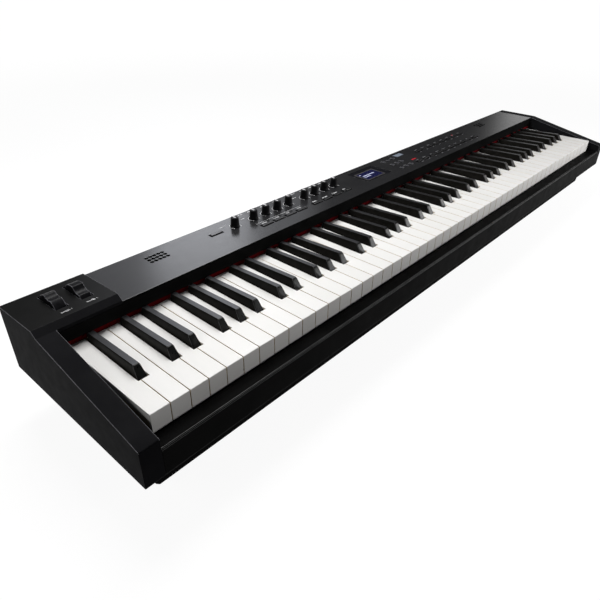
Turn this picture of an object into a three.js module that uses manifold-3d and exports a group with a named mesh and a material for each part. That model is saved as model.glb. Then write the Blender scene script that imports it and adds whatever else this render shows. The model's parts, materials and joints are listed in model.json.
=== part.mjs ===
// A stage piano: 88 keys between two end blocks, a control panel, two wheels and a low tray on rubber feet.
// Millimetres. X runs to the treble end, Y to the rear and Z up. The origin is on the floor, under the middle.

import * as THREE from 'three';
import Module from 'manifold-3d';
import { ConvexGeometry } from 'three/addons/geometries/ConvexGeometry.js';
import { mergeVertices } from 'three/addons/utils/BufferGeometryUtils.js';

const wasm = await Module();
wasm.setup();

// Clearances
const SEAT_GAP = 0.3;
const RUNNING_GAP = 0.5;
const OVERRUN = 1;

// Key counts and the keyboard's pitch
const OCTAVE_SPAN = 165;
const WHITE_LETTERS = ['a', 'b', 'c', 'd', 'e', 'f', 'g'];
const SEMITONES = 12;
const WHITE_KEYS = 52;
const WHITE_PITCH = OCTAVE_SPAN / WHITE_LETTERS.length;
const BLACK_PITCH = OCTAVE_SPAN / SEMITONES;
const KEYS_SPAN = WHITE_KEYS * WHITE_PITCH;
const KEYS_LEFT = -KEYS_SPAN / 2;

// The case from side to side
const KEY_END_GAP = 6.5;
const CHEEK_THICKNESS = 22.64;
const CHEEK_INNER = KEYS_SPAN / 2 + KEY_END_GAP;
const HALF_WIDTH = CHEEK_INNER + CHEEK_THICKNESS;

// The case from front to rear
const FRONT_RAIL_THICKNESS = 19.7;
const KEY_FRONT_CLEARANCE = 4;
const KEY_REACH = 148.5;
const PANEL_DEPTH = 85.8;
const DEPTH = FRONT_RAIL_THICKNESS + KEY_FRONT_CLEARANCE + KEY_REACH + PANEL_DEPTH;
const FRONT = -DEPTH / 2;
const REAR = DEPTH / 2;
const FRONT_RAIL_REAR = FRONT + FRONT_RAIL_THICKNESS;
const KEY_FRONT = FRONT_RAIL_REAR + KEY_FRONT_CLEARANCE;
const FALLBOARD_FRONT = KEY_FRONT + KEY_REACH;

// The case from the floor up
const FOOT_HEIGHT = 20;
const TRAY_DROP = 42;
const FRONT_RAIL_HEIGHT = 35.5;
const KEY_FRONT_SHOW = 22;
const PANEL_RISE = 25.5;
const CASE_BOTTOM = FOOT_HEIGHT + TRAY_DROP;
const FRONT_RAIL_TOP = CASE_BOTTOM + FRONT_RAIL_HEIGHT;
const KEY_TOP = FRONT_RAIL_TOP + KEY_FRONT_SHOW;
const PANEL_TOP = KEY_TOP + PANEL_RISE;
const PANEL_THICKNESS = 3;
const PANEL_UNDER = PANEL_TOP - PANEL_THICKNESS;

// End blocks: the cheek's front and the raised wheel deck at the left
const CHEEK_FRONT_HEIGHT = 49;
const CHEEK_ROUND = 1.5;
const DECK_WIDTH = 101;
const DECK_LIP_RISE = 1;
const DECK_BEVEL_RUN = 8;
const DECK_FRONT_RISE = 7;
const DECK_REAR_RISE = 2.5;
const DECK_RIGHT = -HALF_WIDTH + DECK_WIDTH;

// Bottom tray
const TRAY_SIDE_INSET = 25;
const TRAY_BEHIND_KEY_FRONT = 3.5;
const TRAY_REAR_INSET = 10;
const TRAY_WALL = 3;
const TRAY_END_BEVEL = 4;
const TRAY_RIM_RISE = 12;
const TRAY_HALF_WIDTH = HALF_WIDTH - TRAY_SIDE_INSET;
const TRAY_FRONT = KEY_FRONT + TRAY_BEHIND_KEY_FRONT;
const TRAY_REAR = REAR - TRAY_REAR_INSET;
const TRAY_RIM_TOP = CASE_BOTTOM + TRAY_RIM_RISE;
const TRAY_FLOOR = FOOT_HEIGHT + TRAY_WALL;

// Feet
const FOOT_RADIUS = 19;
const FOOT_TAPER = 2;
const FOOT_EDGE = 1.5;
const FOOT_SIDES = 16;
const FOOT_SIDE_INSET = 90;
const FOOT_END_INSET = 40;

// Front rail and rear panel
const FRONT_RAIL_ROUND = 2;
const REAR_PANEL_THICKNESS = 3;
const REAR_PANEL_FRONT = REAR - REAR_PANEL_THICKNESS;

// Fallboard and the felt under it
const FALLBOARD_THICKNESS = 3;
const FALLBOARD_OVER_KEYS = 6.6;
const FALLBOARD_BOTTOM = KEY_TOP + FALLBOARD_OVER_KEYS;
const PANEL_NOSE = 1.5;
const FELT_THICKNESS = 2;
const FELT_OVER_KEYS = 0.8;

// White keys
const KEY_GAP = 1;
const KEY_NOSE = 1.2;
const KEY_FACE_HEIGHT = 24;
const KEY_FACE_THICKNESS = 3;
const KEY_CAP_DEPTH = 9.5;
const LEVER_DEPTH = 22;
const LEVER_INSET = 1;
const LEVER_TOP_DROP = 9;
const PIVOT_RADIUS = 3;
const PIVOT_SIDES = 6;
const WHITE_PIVOT_DROP = LEVER_DEPTH + PIVOT_RADIUS / 3;
const CAP_REAR_OVERLAP = 1.5;

// Black keys
const BLACK_RISE = 12;
const BLACK_REAR_RISE = 8;
const BLACK_BASE_WIDTH = 11.3;
const BLACK_TOP_WIDTH = 8.4;
const BLACK_EDGE = 0.9;
const BLACK_SIDE_GAP = 1.05;
const BLACK_FRONT_GAP = 2;
const BLACK_FRONT_REACH = 49.8;
const BLACK_FRONT_SLOPE = 8.5;
const BLACK_REAR_GAP = 1.3;
const BLACK_SKIRT = 2;
const BLACK_STEM_WIDTH = 9.6;
const BLACK_STEM_EXTRA = 2;
const BLACK_STEM_DEPTH = LEVER_DEPTH + BLACK_STEM_EXTRA;
const BLACK_STEM_SET_BACK = 1.5;
const PIVOT_SPACING = 16;
const BLACK_PIVOT_UNDER_LEVERS = 2.5;
const BLACK_PIVOT_DROP = LEVER_DEPTH + BLACK_PIVOT_UNDER_LEVERS + PIVOT_RADIUS;
const BLACK_PIVOT_LEG = 5;
const BLACK_SLOT = BLACK_BASE_WIDTH + 2 * BLACK_SIDE_GAP;
const NOTCH_REACH = BLACK_FRONT_REACH - BLACK_FRONT_GAP;

// Key travel, which the frame under the keys leaves room for
const WHITE_DIP = 10;
const STOP_GAP = 1;

// Key frame
const STOP_RAIL_WIDTH = 14;
const BEAM_WEB = 4;
const BEAM_LEDGE_DEPTH = 8;
const BEAM_BEHIND_PIVOT = 6.7;
const BEAM_BEFORE_PIVOT = 5;
const BEAM_FOOT_WIDTH = 16;
const FRAME_PLATE = 4;
const CROSS_BARS = 9;
const CROSS_BAR_WIDTH = 14;
const CROSS_BAR_HEIGHT = 8;
const BEAM_REAR = TRAY_REAR - TRAY_WALL - SEAT_GAP;
const WHITE_PIVOT_REACH = BEAM_REAR - BEAM_BEHIND_PIVOT - KEY_FRONT;
const BLACK_PIVOT_REACH = WHITE_PIVOT_REACH - PIVOT_SPACING;
const STOP_RAIL_FRONT = TRAY_FRONT + TRAY_WALL + SEAT_GAP + (BEAM_FOOT_WIDTH - STOP_RAIL_WIDTH) / 2;
const STOP_RAIL_REACH = STOP_RAIL_FRONT - KEY_FRONT;

// Controls, across by shares of the keys' span and back from the fallboard
const CONTROL_PITCH_SHARE = 0.02064;
const CONTROL_PITCH = KEYS_SPAN * CONTROL_PITCH_SHARE;
const REAR_ROW_SHARE = 0.67;
const FRONT_ROW_SHARE = 0.338;
const POWER_SHARE = 0.2113;
const VOLUME_SHARE = 0.2403;
const KNOB_GROUP_SHARES = [0.2709, 0.3635];
const KNOBS_PER_GROUP = 4;

// Knobs
const KNOB_HEIGHT = 14;
const KNOB_SKIRT_RADIUS = 7.4;
const KNOB_SKIRT_HEIGHT = 1.6;
const KNOB_FLARE_HEIGHT = 2.2;
const KNOB_RADIUS = 5.9;
const KNOB_TOP_RADIUS = 5.5;
const KNOB_EDGE = 0.8;
const KNOB_SHAFT_RADIUS = 3;
const KNOB_SIDES = 12;
const POINTER_WIDTH = 1.2;
const POINTER_DEPTH = 0.6;

// Buttons
const BUTTON_WIDTH = 19;
const BUTTON_DEPTH = 4.6;
const BUTTON_PROUD = 1.2;
const BUTTON_EDGE = 0.4;
const BUTTON_TRAVEL = 0.8;
const BUTTON_STEM = 3.8;
const SMALL_BUTTON_WIDTH = 9;
const CURSOR_SHARE = 0.5585;
const CURSOR_ROW_SHARE = 0.268;
const CURSOR_COLUMN_PITCH = 15.8;
const CURSOR_ROW_PITCH = 21.2;
const CURSOR_SIDE = 3;
const VOICE_SHARE = 0.6078;
const VOICE_ROW_SHARE = 0.262;
const VOICE_BUTTONS = 10;
const FUNCTION_SHARE = 0.6491;
const FUNCTION_BUTTONS = 8;
const CARRIER_HEIGHT = 1.5;
const CARRIER_WIDTH = 3;

// Display
const WINDOW_SHARE = 0.4732;
const WINDOW_WIDTH = 72;
const WINDOW_MIDDLE_SHARE = 0.577;
const WINDOW_DEPTH = 46;
const MODULE_MARGIN = 3;
const MODULE_HEIGHT = 8;
const SCREEN_MARGIN_SIDE = 9;
const SCREEN_MARGIN_FRONT = 6;
const SCREEN_WIDTH = 47;
const SCREEN_DEPTH = 27.5;
const SCREEN_RECESS = 0.8;

// Speaker grilles and the speakers under them
const GRILLE_SHARES = [0.1314, 0.8746];
const GRILLE_ROW_SHARE = 0.699;
const GRILLE_COLUMNS = 5;
const GRILLE_ROWS = 3;
const GRILLE_COLUMN_PITCH = 6.1;
const GRILLE_ROW_PITCH = 6.7;
const GRILLE_HOLE_RADIUS = 2;
const GRILLE_HOLE_SIDES = 6;
const SPEAKER_WIDTH = 62;
const SPEAKER_DEPTH = 36;
const SPEAKER_FLANGE = 3;
const SPEAKER_BASKET_HEIGHT = 8;
const SPEAKER_BASKET_RADIUS = 16;
const SPEAKER_MAGNET_RADIUS = 12;
const SPEAKER_MAGNET_HEIGHT = 7;
const SPEAKER_MOUTH_RADIUS = 14;
const SPEAKER_MOUTH_DEPTH = 6;

// Wheels at the left of the panel
const WHEEL_RADIUS = 22;
const WHEEL_THICKNESS = 13.4;
const WHEEL_SIDES = 24;
const WHEEL_VALLEY_RADIUS = 10;
const WHEEL_VALLEY_DEPTH = 3.4;
const WHEEL_SLOT_GAP = 0.7;
const WHEEL_ROW_SHARE = 0.577;
const WHEEL_AXLE_RADIUS = 2.5;
const WHEELS_ACROSS = [15.5, 45.5];
const PITCH_REST_ANGLE = -8;
const MODULATION_REST_ANGLE = -26;
const BRACKET_SHEET = 2;
const BRACKET_LENGTH = 28;
const BRACKET_SIDE_GAP = 1;
const BRACKET_UNDER_GAP = 1;
const BRACKET_OVER_KEYS = 1.5;

// Boards
const BOARD_THICKNESS = 1.6;
const BOARD_DROP = 6.4;
const BOARD_MARGIN = 14;
const POT_WIDTH = 11;
const SWITCH_WIDTH = 5;

// Rear sockets
const JACK_BOARD_OVER_KEYS = 3;
const JACK_BOARD_DEPTH = 34;
const JACK_BOARD_MARGIN = 8;
const JACKS_SHARE = 0.5711;
const JACK_PITCH_SHARE = 0.0245;
const JACK_BODY_WIDTH = 17;
const JACK_BODY_DEPTH = 28;
const JACK_HEIGHT_SHARE = 0.83;
const SOCKET_HEADROOM = 0.9;
const JACK_NOSE_RADIUS = 6;
const JACK_BORE_RADIUS = 3.4;
const JACK_BORE_DEPTH = 24;
const DIN_NOSE_RADIUS = 8.5;
const DIN_BORE_RADIUS = 7;
const DIN_BORE_DEPTH = 9;
const DIN_BODY_WIDTH = 20;
const PORT_WIDTH = 13;
const PORT_HEIGHT = 10;
const PORT_FRAME = 1.6;
const PORT_OPENING_DEPTH = 12;
const INLET_NOSE_RADIUS = 5.5;
const INLET_BORE_RADIUS = 3.2;
const INLET_BORE_DEPTH = 10;
const ROUND_SIDES = 10;
const REAR_SOCKETS = ['inlet', 'port', 'port', 'din', 'din', 'jack', 'jack', 'jack', 'jack', 'jack', 'jack'];

// Materials
const colourOf = (color, roughness, metalness) => (
  new THREE.MeshStandardMaterial({ color, roughness, metalness })
);
const CASE = colourOf(0x2a2a2e, 0.5, 0);
const PANEL = colourOf(0x3c3c42, 0.42, 0.3);
const RAIL = colourOf(0x1a1a1c, 0.5, 0);
const TRAY = colourOf(0x101011, 0.6, 0.2);
const RUBBER = colourOf(0x141414, 0.9, 0);
const IVORY = colourOf(0xeceae8, 0.35, 0);
const EBONY = colourOf(0x121214, 0.3, 0);
const FELT = colourOf(0x6a0c12, 0.95, 0);
const KNOB = colourOf(0x0d0d0e, 0.45, 0);
const STEEL = colourOf(0x8a8c90, 0.4, 0.8);
const GLASS = colourOf(0x0a0a12, 0.1, 0);
const SCREEN = colourOf(0x101c50, 0.3, 0);
const BOARD = colourOf(0x1e4d2c, 0.6, 0);
const SPEAKER = colourOf(0x18181a, 0.7, 0.2);

// Solids from closed geometries
function solidOf(geometry) {
  const bare = geometry.index ? geometry.toNonIndexed() : geometry.clone();
  bare.deleteAttribute('normal');
  bare.deleteAttribute('uv');
  const merged = mergeVertices(bare);
  return new wasm.Manifold(new wasm.Mesh({
    numProp: 3,
    vertProperties: new Float32Array(merged.attributes.position.array),
    triVerts: new Uint32Array(merged.index.array),
  }));
}

function join(solids) {
  return solids.reduce((whole, solid) => whole.add(solid));
}

function cut(solid, tools) {
  return tools.reduce((rest, tool) => rest.subtract(tool), solid);
}

function box([left, right], [front, rear], [bottom, top]) {
  const geometry = new THREE.BoxGeometry(right - left, rear - front, top - bottom);
  geometry.translate((left + right) / 2, (front + rear) / 2, (bottom + top) / 2);
  return solidOf(geometry);
}

function outlineShape(points) {
  return new THREE.Shape(points.map(([a, b]) => new THREE.Vector2(a, b)));
}

// An outline in Y and Z, drawn out along X
function alongX(points, [left, right]) {
  const depth = right - left;
  const geometry = new THREE.ExtrudeGeometry(outlineShape(points), { depth, bevelEnabled: false });
  geometry.applyMatrix4(new THREE.Matrix4().set(0, 0, 1, left, 1, 0, 0, 0, 0, 1, 0, 0, 0, 0, 0, 1));
  return solidOf(geometry);
}

// An outline in X and Z, drawn out along Y
function alongY(points, [front, rear]) {
  const depth = rear - front;
  const geometry = new THREE.ExtrudeGeometry(outlineShape(points), { depth, bevelEnabled: false });
  geometry.rotateX(Math.PI / 2);
  geometry.translate(0, rear, 0);
  return solidOf(geometry);
}

// A profile of radius and height, turned about Z
function turned(profile, sides) {
  const geometry = new THREE.LatheGeometry(profile.map(([r, z]) => new THREE.Vector2(r, z)), sides);
  geometry.rotateX(Math.PI / 2);
  return solidOf(geometry);
}

function postZ(x, y, [bottom, top], radius, sides) {
  return turned([[0, bottom], [radius, bottom], [radius, top], [0, top]], sides).translate([x, y, 0]);
}

// Points of a circle in a plane, the first one half a step round so that flats face the axes
function circlePoints(a, b, radius, sides) {
  return Array.from({ length: sides }, (_, step) => {
    const angle = (2 * Math.PI * (step + 1 / 2)) / sides;
    return [a + radius * Math.cos(angle), b + radius * Math.sin(angle)];
  });
}

function rodX(y, z, span, radius, sides) {
  return alongX(circlePoints(y, z, radius, sides), span);
}

function rodY(x, z, span, radius, sides) {
  return alongY(circlePoints(x, z, radius, sides), span);
}

// Two points in place of a square corner, and one between them on the round
function roundCorner([a, b], [inA, inB], [outA, outB], radius) {
  const pull = 1 - Math.SQRT1_2;
  return [
    [a - inA * radius, b - inB * radius],
    [a + (outA - inA) * radius * pull, b + (outB - inB) * radius * pull],
    [a + outA * radius, b + outB * radius],
  ];
}

function meshOf(name, solid, material) {
  const { vertProperties, triVerts } = solid.getMesh();
  const geometry = new THREE.BufferGeometry();
  geometry.setAttribute('position', new THREE.BufferAttribute(new Float32Array(vertProperties), 3));
  geometry.setIndex(new THREE.BufferAttribute(new Uint32Array(triVerts), 1));
  geometry.computeVertexNormals();
  const mesh = new THREE.Mesh(geometry, material);
  mesh.name = name;
  return mesh;
}

const across = (distance) => KEYS_LEFT + distance;
const acrossShare = (share) => across(KEYS_SPAN * share);
const behindShare = (share) => FALLBOARD_FRONT + PANEL_DEPTH * share;
const centred = (middle, width) => [middle - width / 2, middle + width / 2];
const overrun = ([low, high]) => [low - OVERRUN, high + OVERRUN];

// Where the keys lie
const letterOf = (white) => WHITE_LETTERS[white % WHITE_LETTERS.length];
const hasBlackAfter = (white) => white >= 0 && white < WHITE_KEYS - 1 && !'be'.includes(letterOf(white));

// Black keys split their group of white keys evenly: c to e holds two, f to b holds three
function blackCentre(white) {
  const letter = letterOf(white);
  const group = 'cde'.includes(letter) ? 'cde' : 'fgab';
  const place = group.indexOf(letter);
  const tail = (group.length * WHITE_PITCH - (group.length - 1) * BLACK_PITCH) / group.length;
  return across((white - place) * WHITE_PITCH + (place + 1) * tail + (place + 1 / 2) * BLACK_PITCH);
}

function tailSpan(white) {
  const left = hasBlackAfter(white - 1)
    ? blackCentre(white - 1) + BLACK_SLOT / 2
    : across(white * WHITE_PITCH) + KEY_GAP / 2;
  const right = hasBlackAfter(white)
    ? blackCentre(white) - BLACK_SLOT / 2
    : across((white + 1) * WHITE_PITCH) - KEY_GAP / 2;
  return [left, right];
}

const keyY = (reach) => KEY_FRONT + reach;
const keyZ = (rise) => KEY_TOP + rise;

// One white key: a cap with a deep front face, notched for its black neighbours, on a lever
const leverSpan = ([left, right]) => [left + LEVER_INSET, right - LEVER_INSET];

function whiteKey(white) {
  const left = across(white * WHITE_PITCH) + KEY_GAP / 2;
  const right = across((white + 1) * WHITE_PITCH) - KEY_GAP / 2;
  const [tailLeft, tailRight] = tailSpan(white);
  const capRear = KEY_REACH + CAP_REAR_OVERLAP;
  const cap = alongX([
    ...roundCorner([keyY(0), keyZ(0)], [-1, 0], [0, -1], KEY_NOSE),
    [keyY(0), keyZ(-KEY_FACE_HEIGHT)],
    [keyY(KEY_FACE_THICKNESS), keyZ(-KEY_FACE_HEIGHT)],
    [keyY(KEY_FACE_THICKNESS), keyZ(-KEY_CAP_DEPTH)],
    [keyY(capRear), keyZ(-KEY_CAP_DEPTH)],
    [keyY(capRear), keyZ(0)],
  ], [left, right]);
  const notchY = [keyY(NOTCH_REACH), keyY(capRear) + OVERRUN];
  const notchZ = [keyZ(-KEY_CAP_DEPTH) - OVERRUN, keyZ(0) + OVERRUN];
  const notches = [];
  if (tailLeft > left) notches.push(box([left - OVERRUN, tailLeft], notchY, notchZ));
  if (tailRight < right) notches.push(box([tailRight, right + OVERRUN], notchY, notchZ));
  const lever = alongX([
    [keyY(KEY_FACE_THICKNESS / 2), keyZ(-KEY_CAP_DEPTH / 2)],
    [keyY(KEY_FACE_THICKNESS / 2), keyZ(-LEVER_DEPTH)],
    [keyY(WHITE_PIVOT_REACH + PIVOT_RADIUS / 2), keyZ(-LEVER_DEPTH)],
    [keyY(WHITE_PIVOT_REACH + PIVOT_RADIUS / 2), keyZ(-LEVER_TOP_DROP)],
    [keyY(capRear - KEY_FACE_THICKNESS), keyZ(-LEVER_TOP_DROP)],
    [keyY(capRear - KEY_FACE_THICKNESS), keyZ(-KEY_CAP_DEPTH / 2)],
  ], leverSpan([tailLeft, tailRight]));
  return join([cut(cap, notches), lever]);
}

function whitePivot(span) {
  return rodX(keyY(WHITE_PIVOT_REACH), keyZ(-WHITE_PIVOT_DROP), span, PIVOT_RADIUS, PIVOT_SIDES);
}

// One black key: a tapered cap with a sloping front and eased top edges, on a stem back to its pivot
function blackKey(white) {
  const middle = blackCentre(white);
  const capRear = KEY_REACH - BLACK_REAR_GAP;
  const topFront = BLACK_FRONT_REACH + BLACK_FRONT_SLOPE;
  const half = {
    base: BLACK_BASE_WIDTH / 2,
    side: BLACK_TOP_WIDTH / 2,
    top: BLACK_TOP_WIDTH / 2 - BLACK_EDGE,
  };
  const corners = [];
  for (const side of [-1, 1]) {
    const corner = (halfWidth, reach, rise) => (
      corners.push(new THREE.Vector3(middle + side * halfWidth, keyY(reach), keyZ(rise)))
    );
    corner(half.base, BLACK_FRONT_REACH, -BLACK_SKIRT);
    corner(half.base, capRear, -BLACK_SKIRT);
    corner(half.side, topFront - BLACK_EDGE, BLACK_RISE - 2 * BLACK_EDGE);
    corner(half.side, capRear, BLACK_REAR_RISE - BLACK_EDGE);
    corner(half.top, topFront + BLACK_EDGE, BLACK_RISE);
    corner(half.top, capRear, BLACK_REAR_RISE);
  }
  const cap = solidOf(new ConvexGeometry(corners));
  const stemRear = BLACK_PIVOT_REACH + PIVOT_RADIUS;
  const stem = alongX([
    [keyY(BLACK_FRONT_REACH + BLACK_STEM_SET_BACK), keyZ(-BLACK_SKIRT + BLACK_EDGE)],
    [keyY(BLACK_FRONT_REACH + BLACK_STEM_SET_BACK), keyZ(-BLACK_STEM_DEPTH)],
    [keyY(BLACK_PIVOT_REACH - BLACK_PIVOT_LEG), keyZ(-BLACK_STEM_DEPTH)],
    [keyY(BLACK_PIVOT_REACH - PIVOT_RADIUS / 2), keyZ(-BLACK_PIVOT_DROP)],
    [keyY(stemRear - PIVOT_RADIUS / 2), keyZ(-BLACK_PIVOT_DROP)],
    [keyY(stemRear), keyZ(-BLACK_STEM_DEPTH)],
    [keyY(stemRear), keyZ(-LEVER_TOP_DROP)],
    [keyY(capRear - BLACK_EDGE), keyZ(-LEVER_TOP_DROP)],
    [keyY(capRear - BLACK_EDGE), keyZ(-BLACK_SKIRT + BLACK_EDGE)],
  ], stemSpan(white));
  return cap.add(stem);
}

const stemSpan = (white) => centred(blackCentre(white), BLACK_STEM_WIDTH);

function blackPivot(span) {
  return rodX(keyY(BLACK_PIVOT_REACH), keyZ(-BLACK_PIVOT_DROP), span, PIVOT_RADIUS, PIVOT_SIDES);
}

// The middle octave's keys turn one by one; those below and above it hang together, one pivot rod a set
const MIDDLE_C = 23;
const MIDDLE_END = MIDDLE_C + WHITE_LETTERS.length;
const MIDDLE_OCTAVE = 4;

function keyRange(first, end) {
  return Array.from({ length: end - first }, (_, step) => first + step);
}

function whiteSet(name, first, end) {
  const rod = whitePivot([across(first * WHITE_PITCH) + KEY_GAP / 2, across(end * WHITE_PITCH) - KEY_GAP / 2]);
  return meshOf(name, join([...keyRange(first, end).map(whiteKey), rod]), IVORY);
}

function blackSet(name, first, end) {
  const whites = keyRange(first, end).filter(hasBlackAfter);
  const rod = blackPivot([stemSpan(whites[0])[0], stemSpan(whites[whites.length - 1])[1]]);
  return meshOf(name, join([...whites.map(blackKey), rod]), EBONY);
}

function keys() {
  const pieces = [
    whiteSet('low_white_keys', 0, MIDDLE_C),
    whiteSet('high_white_keys', MIDDLE_END, WHITE_KEYS),
    blackSet('low_black_keys', 0, MIDDLE_C),
    blackSet('high_black_keys', MIDDLE_END, WHITE_KEYS),
  ];
  for (const white of keyRange(MIDDLE_C, MIDDLE_END)) {
    const name = `key_${letterOf(white)}`;
    const whiteSolid = whiteKey(white).add(whitePivot(leverSpan(tailSpan(white))));
    pieces.push(meshOf(name + MIDDLE_OCTAVE, whiteSolid, IVORY));
    if (hasBlackAfter(white)) {
      const blackSolid = blackKey(white).add(blackPivot(stemSpan(white)));
      pieces.push(meshOf(`${name}s${MIDDLE_OCTAVE}`, blackSolid, EBONY));
    }
  }
  return pieces;
}

// Key frame: a stop rail in front and a beam with two pivot grooves behind, tied by cross bars below
function keyFrame() {
  const halfSpan = TRAY_HALF_WIDTH - TRAY_WALL - TRAY_END_BEVEL - SEAT_GAP;
  const span = [-halfSpan, halfSpan];
  const floor = TRAY_FLOOR + SEAT_GAP;
  const stopTop = keyZ(-LEVER_DEPTH - WHITE_DIP - STOP_GAP);
  const stopRear = STOP_RAIL_REACH + STOP_RAIL_WIDTH;
  const stopRail = alongX(teeOutline(STOP_RAIL_REACH, stopRear, stopTop, floor), span);
  const beamFront = BLACK_PIVOT_REACH - BEAM_BEFORE_PIVOT;
  const beamRear = WHITE_PIVOT_REACH + BEAM_BEHIND_PIVOT;
  const step = (BLACK_PIVOT_REACH + WHITE_PIVOT_REACH) / 2;
  const beam = alongX(teeOutline(beamFront, beamRear, keyZ(-BLACK_PIVOT_DROP), floor), span);
  const rearSeat = box(
    span,
    [keyY(step), keyY(beamRear)],
    [keyZ(-BLACK_PIVOT_DROP) - OVERRUN, keyZ(-WHITE_PIVOT_DROP)],
  );
  const groove = (reach, drop) => (
    rodX(keyY(reach), keyZ(-drop), overrun(span), PIVOT_RADIUS + RUNNING_GAP, PIVOT_SIDES)
  );
  const grooves = [
    groove(BLACK_PIVOT_REACH, BLACK_PIVOT_DROP),
    groove(WHITE_PIVOT_REACH, WHITE_PIVOT_DROP),
  ];
  const barPitch = (span[1] - span[0] - CROSS_BAR_WIDTH) / (CROSS_BARS - 1);
  const bars = Array.from({ length: CROSS_BARS }, (_, bar) => box(
    [span[0] + bar * barPitch, span[0] + bar * barPitch + CROSS_BAR_WIDTH],
    [keyY(STOP_RAIL_REACH), keyY(beamRear)],
    [floor, floor + CROSS_BAR_HEIGHT],
  ));
  return meshOf('key_frame', cut(join([stopRail, beam, rearSeat, ...bars]), grooves), STEEL);
}

// A web on a broad foot with a ledge on top
function teeOutline(front, rear, top, floor) {
  const middle = keyY((front + rear) / 2);
  return [
    [middle - BEAM_FOOT_WIDTH / 2, floor],
    [middle + BEAM_FOOT_WIDTH / 2, floor],
    [middle + BEAM_FOOT_WIDTH / 2, floor + FRAME_PLATE],
    [middle + BEAM_WEB / 2, floor + FRAME_PLATE],
    [middle + BEAM_WEB / 2, top - BEAM_LEDGE_DEPTH],
    [keyY(rear), top - BEAM_LEDGE_DEPTH],
    [keyY(rear), top],
    [keyY(front), top],
    [keyY(front), top - BEAM_LEDGE_DEPTH],
    [middle - BEAM_WEB / 2, top - BEAM_LEDGE_DEPTH],
    [middle - BEAM_WEB / 2, floor + FRAME_PLATE],
    [middle - BEAM_FOOT_WIDTH / 2, floor + FRAME_PLATE],
  ];
}

// Bottom tray: an open pan with bevelled ends and a rim that meets the case all round
function bottomChassis() {
  const panOutline = (inset, top) => {
    const half = TRAY_HALF_WIDTH - inset;
    const bottom = FOOT_HEIGHT + inset;
    return [
      [-half, top],
      [-half, bottom + TRAY_END_BEVEL],
      [-half + TRAY_END_BEVEL, bottom],
      [half - TRAY_END_BEVEL, bottom],
      [half, bottom + TRAY_END_BEVEL],
      [half, top],
    ];
  };
  const pan = alongY(panOutline(0, TRAY_RIM_TOP), [TRAY_FRONT, TRAY_REAR]);
  const rimHalf = CHEEK_INNER - SEAT_GAP;
  const rim = box(
    [-rimHalf, rimHalf],
    [FRONT_RAIL_REAR + SEAT_GAP, REAR_PANEL_FRONT - SEAT_GAP],
    [TRAY_RIM_TOP - TRAY_WALL, TRAY_RIM_TOP],
  );
  const room = alongY(
    panOutline(TRAY_WALL, TRAY_RIM_TOP + OVERRUN),
    [TRAY_FRONT + TRAY_WALL, TRAY_REAR - TRAY_WALL],
  );
  return meshOf('bottom_chassis', cut(join([pan, rim]), [room]), TRAY);
}

function feet() {
  const top = FOOT_HEIGHT - SEAT_GAP;
  const profile = [
    [0, 0],
    [FOOT_RADIUS - FOOT_TAPER - FOOT_EDGE, 0],
    [FOOT_RADIUS - FOOT_TAPER, FOOT_EDGE],
    [FOOT_RADIUS, top],
    [0, top],
  ];
  const places = [];
  for (const y of [TRAY_FRONT + FOOT_END_INSET, TRAY_REAR - FOOT_END_INSET]) {
    for (const side of [-1, 1]) places.push([side * (TRAY_HALF_WIDTH - FOOT_SIDE_INSET), y]);
  }
  return places.map(([x, y], index) => {
    const foot = meshOf(`foot_${index + 1}`, turned(profile, FOOT_SIDES), RUBBER);
    foot.position.set(x, y, 0);
    return foot;
  });
}

// Front rail across the key fronts
function frontRail() {
  const outline = [
    [FRONT_RAIL_REAR, CASE_BOTTOM],
    [FRONT_RAIL_REAR, FRONT_RAIL_TOP],
    ...roundCorner([FRONT, FRONT_RAIL_TOP], [-1, 0], [0, -1], FRONT_RAIL_ROUND),
    ...roundCorner([FRONT, CASE_BOTTOM], [0, -1], [1, 0], FRONT_RAIL_ROUND),
  ];
  return meshOf('front_rail', alongX(outline, [-CHEEK_INNER + SEAT_GAP, CHEEK_INNER - SEAT_GAP]), RAIL);
}

// The cheek's side outline: upright front and rear, and a long slope beside the keys
const CHEEK_FRONT_TOP = CASE_BOTTOM + CHEEK_FRONT_HEIGHT;

function cheekOutline(topPoints) {
  return [
    [REAR, CASE_BOTTOM],
    ...topPoints,
    ...roundCorner([FRONT, CHEEK_FRONT_TOP], [-1, 0], [0, -1], CHEEK_ROUND),
    ...roundCorner([FRONT, CASE_BOTTOM], [0, -1], [1, 0], CHEEK_ROUND),
  ];
}

const DECK_TOP_POINTS = [
  [REAR, PANEL_TOP + DECK_REAR_RISE],
  [FALLBOARD_FRONT + DECK_BEVEL_RUN, PANEL_TOP + DECK_FRONT_RISE],
  [FALLBOARD_FRONT, PANEL_TOP + DECK_LIP_RISE],
];

const wheelX = WHEELS_ACROSS.map(across);
const WHEEL_Y = behindShare(WHEEL_ROW_SHARE);
const BRACKET_BOTTOM = keyZ(-LEVER_TOP_DROP) + BRACKET_OVER_KEYS;
const WHEEL_Z = BRACKET_BOTTOM + BRACKET_SHEET + BRACKET_UNDER_GAP + WHEEL_RADIUS;
const WHEEL_CHORD = 2 * Math.sqrt(WHEEL_RADIUS ** 2 - (PANEL_UNDER - WHEEL_Z) ** 2);

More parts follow.
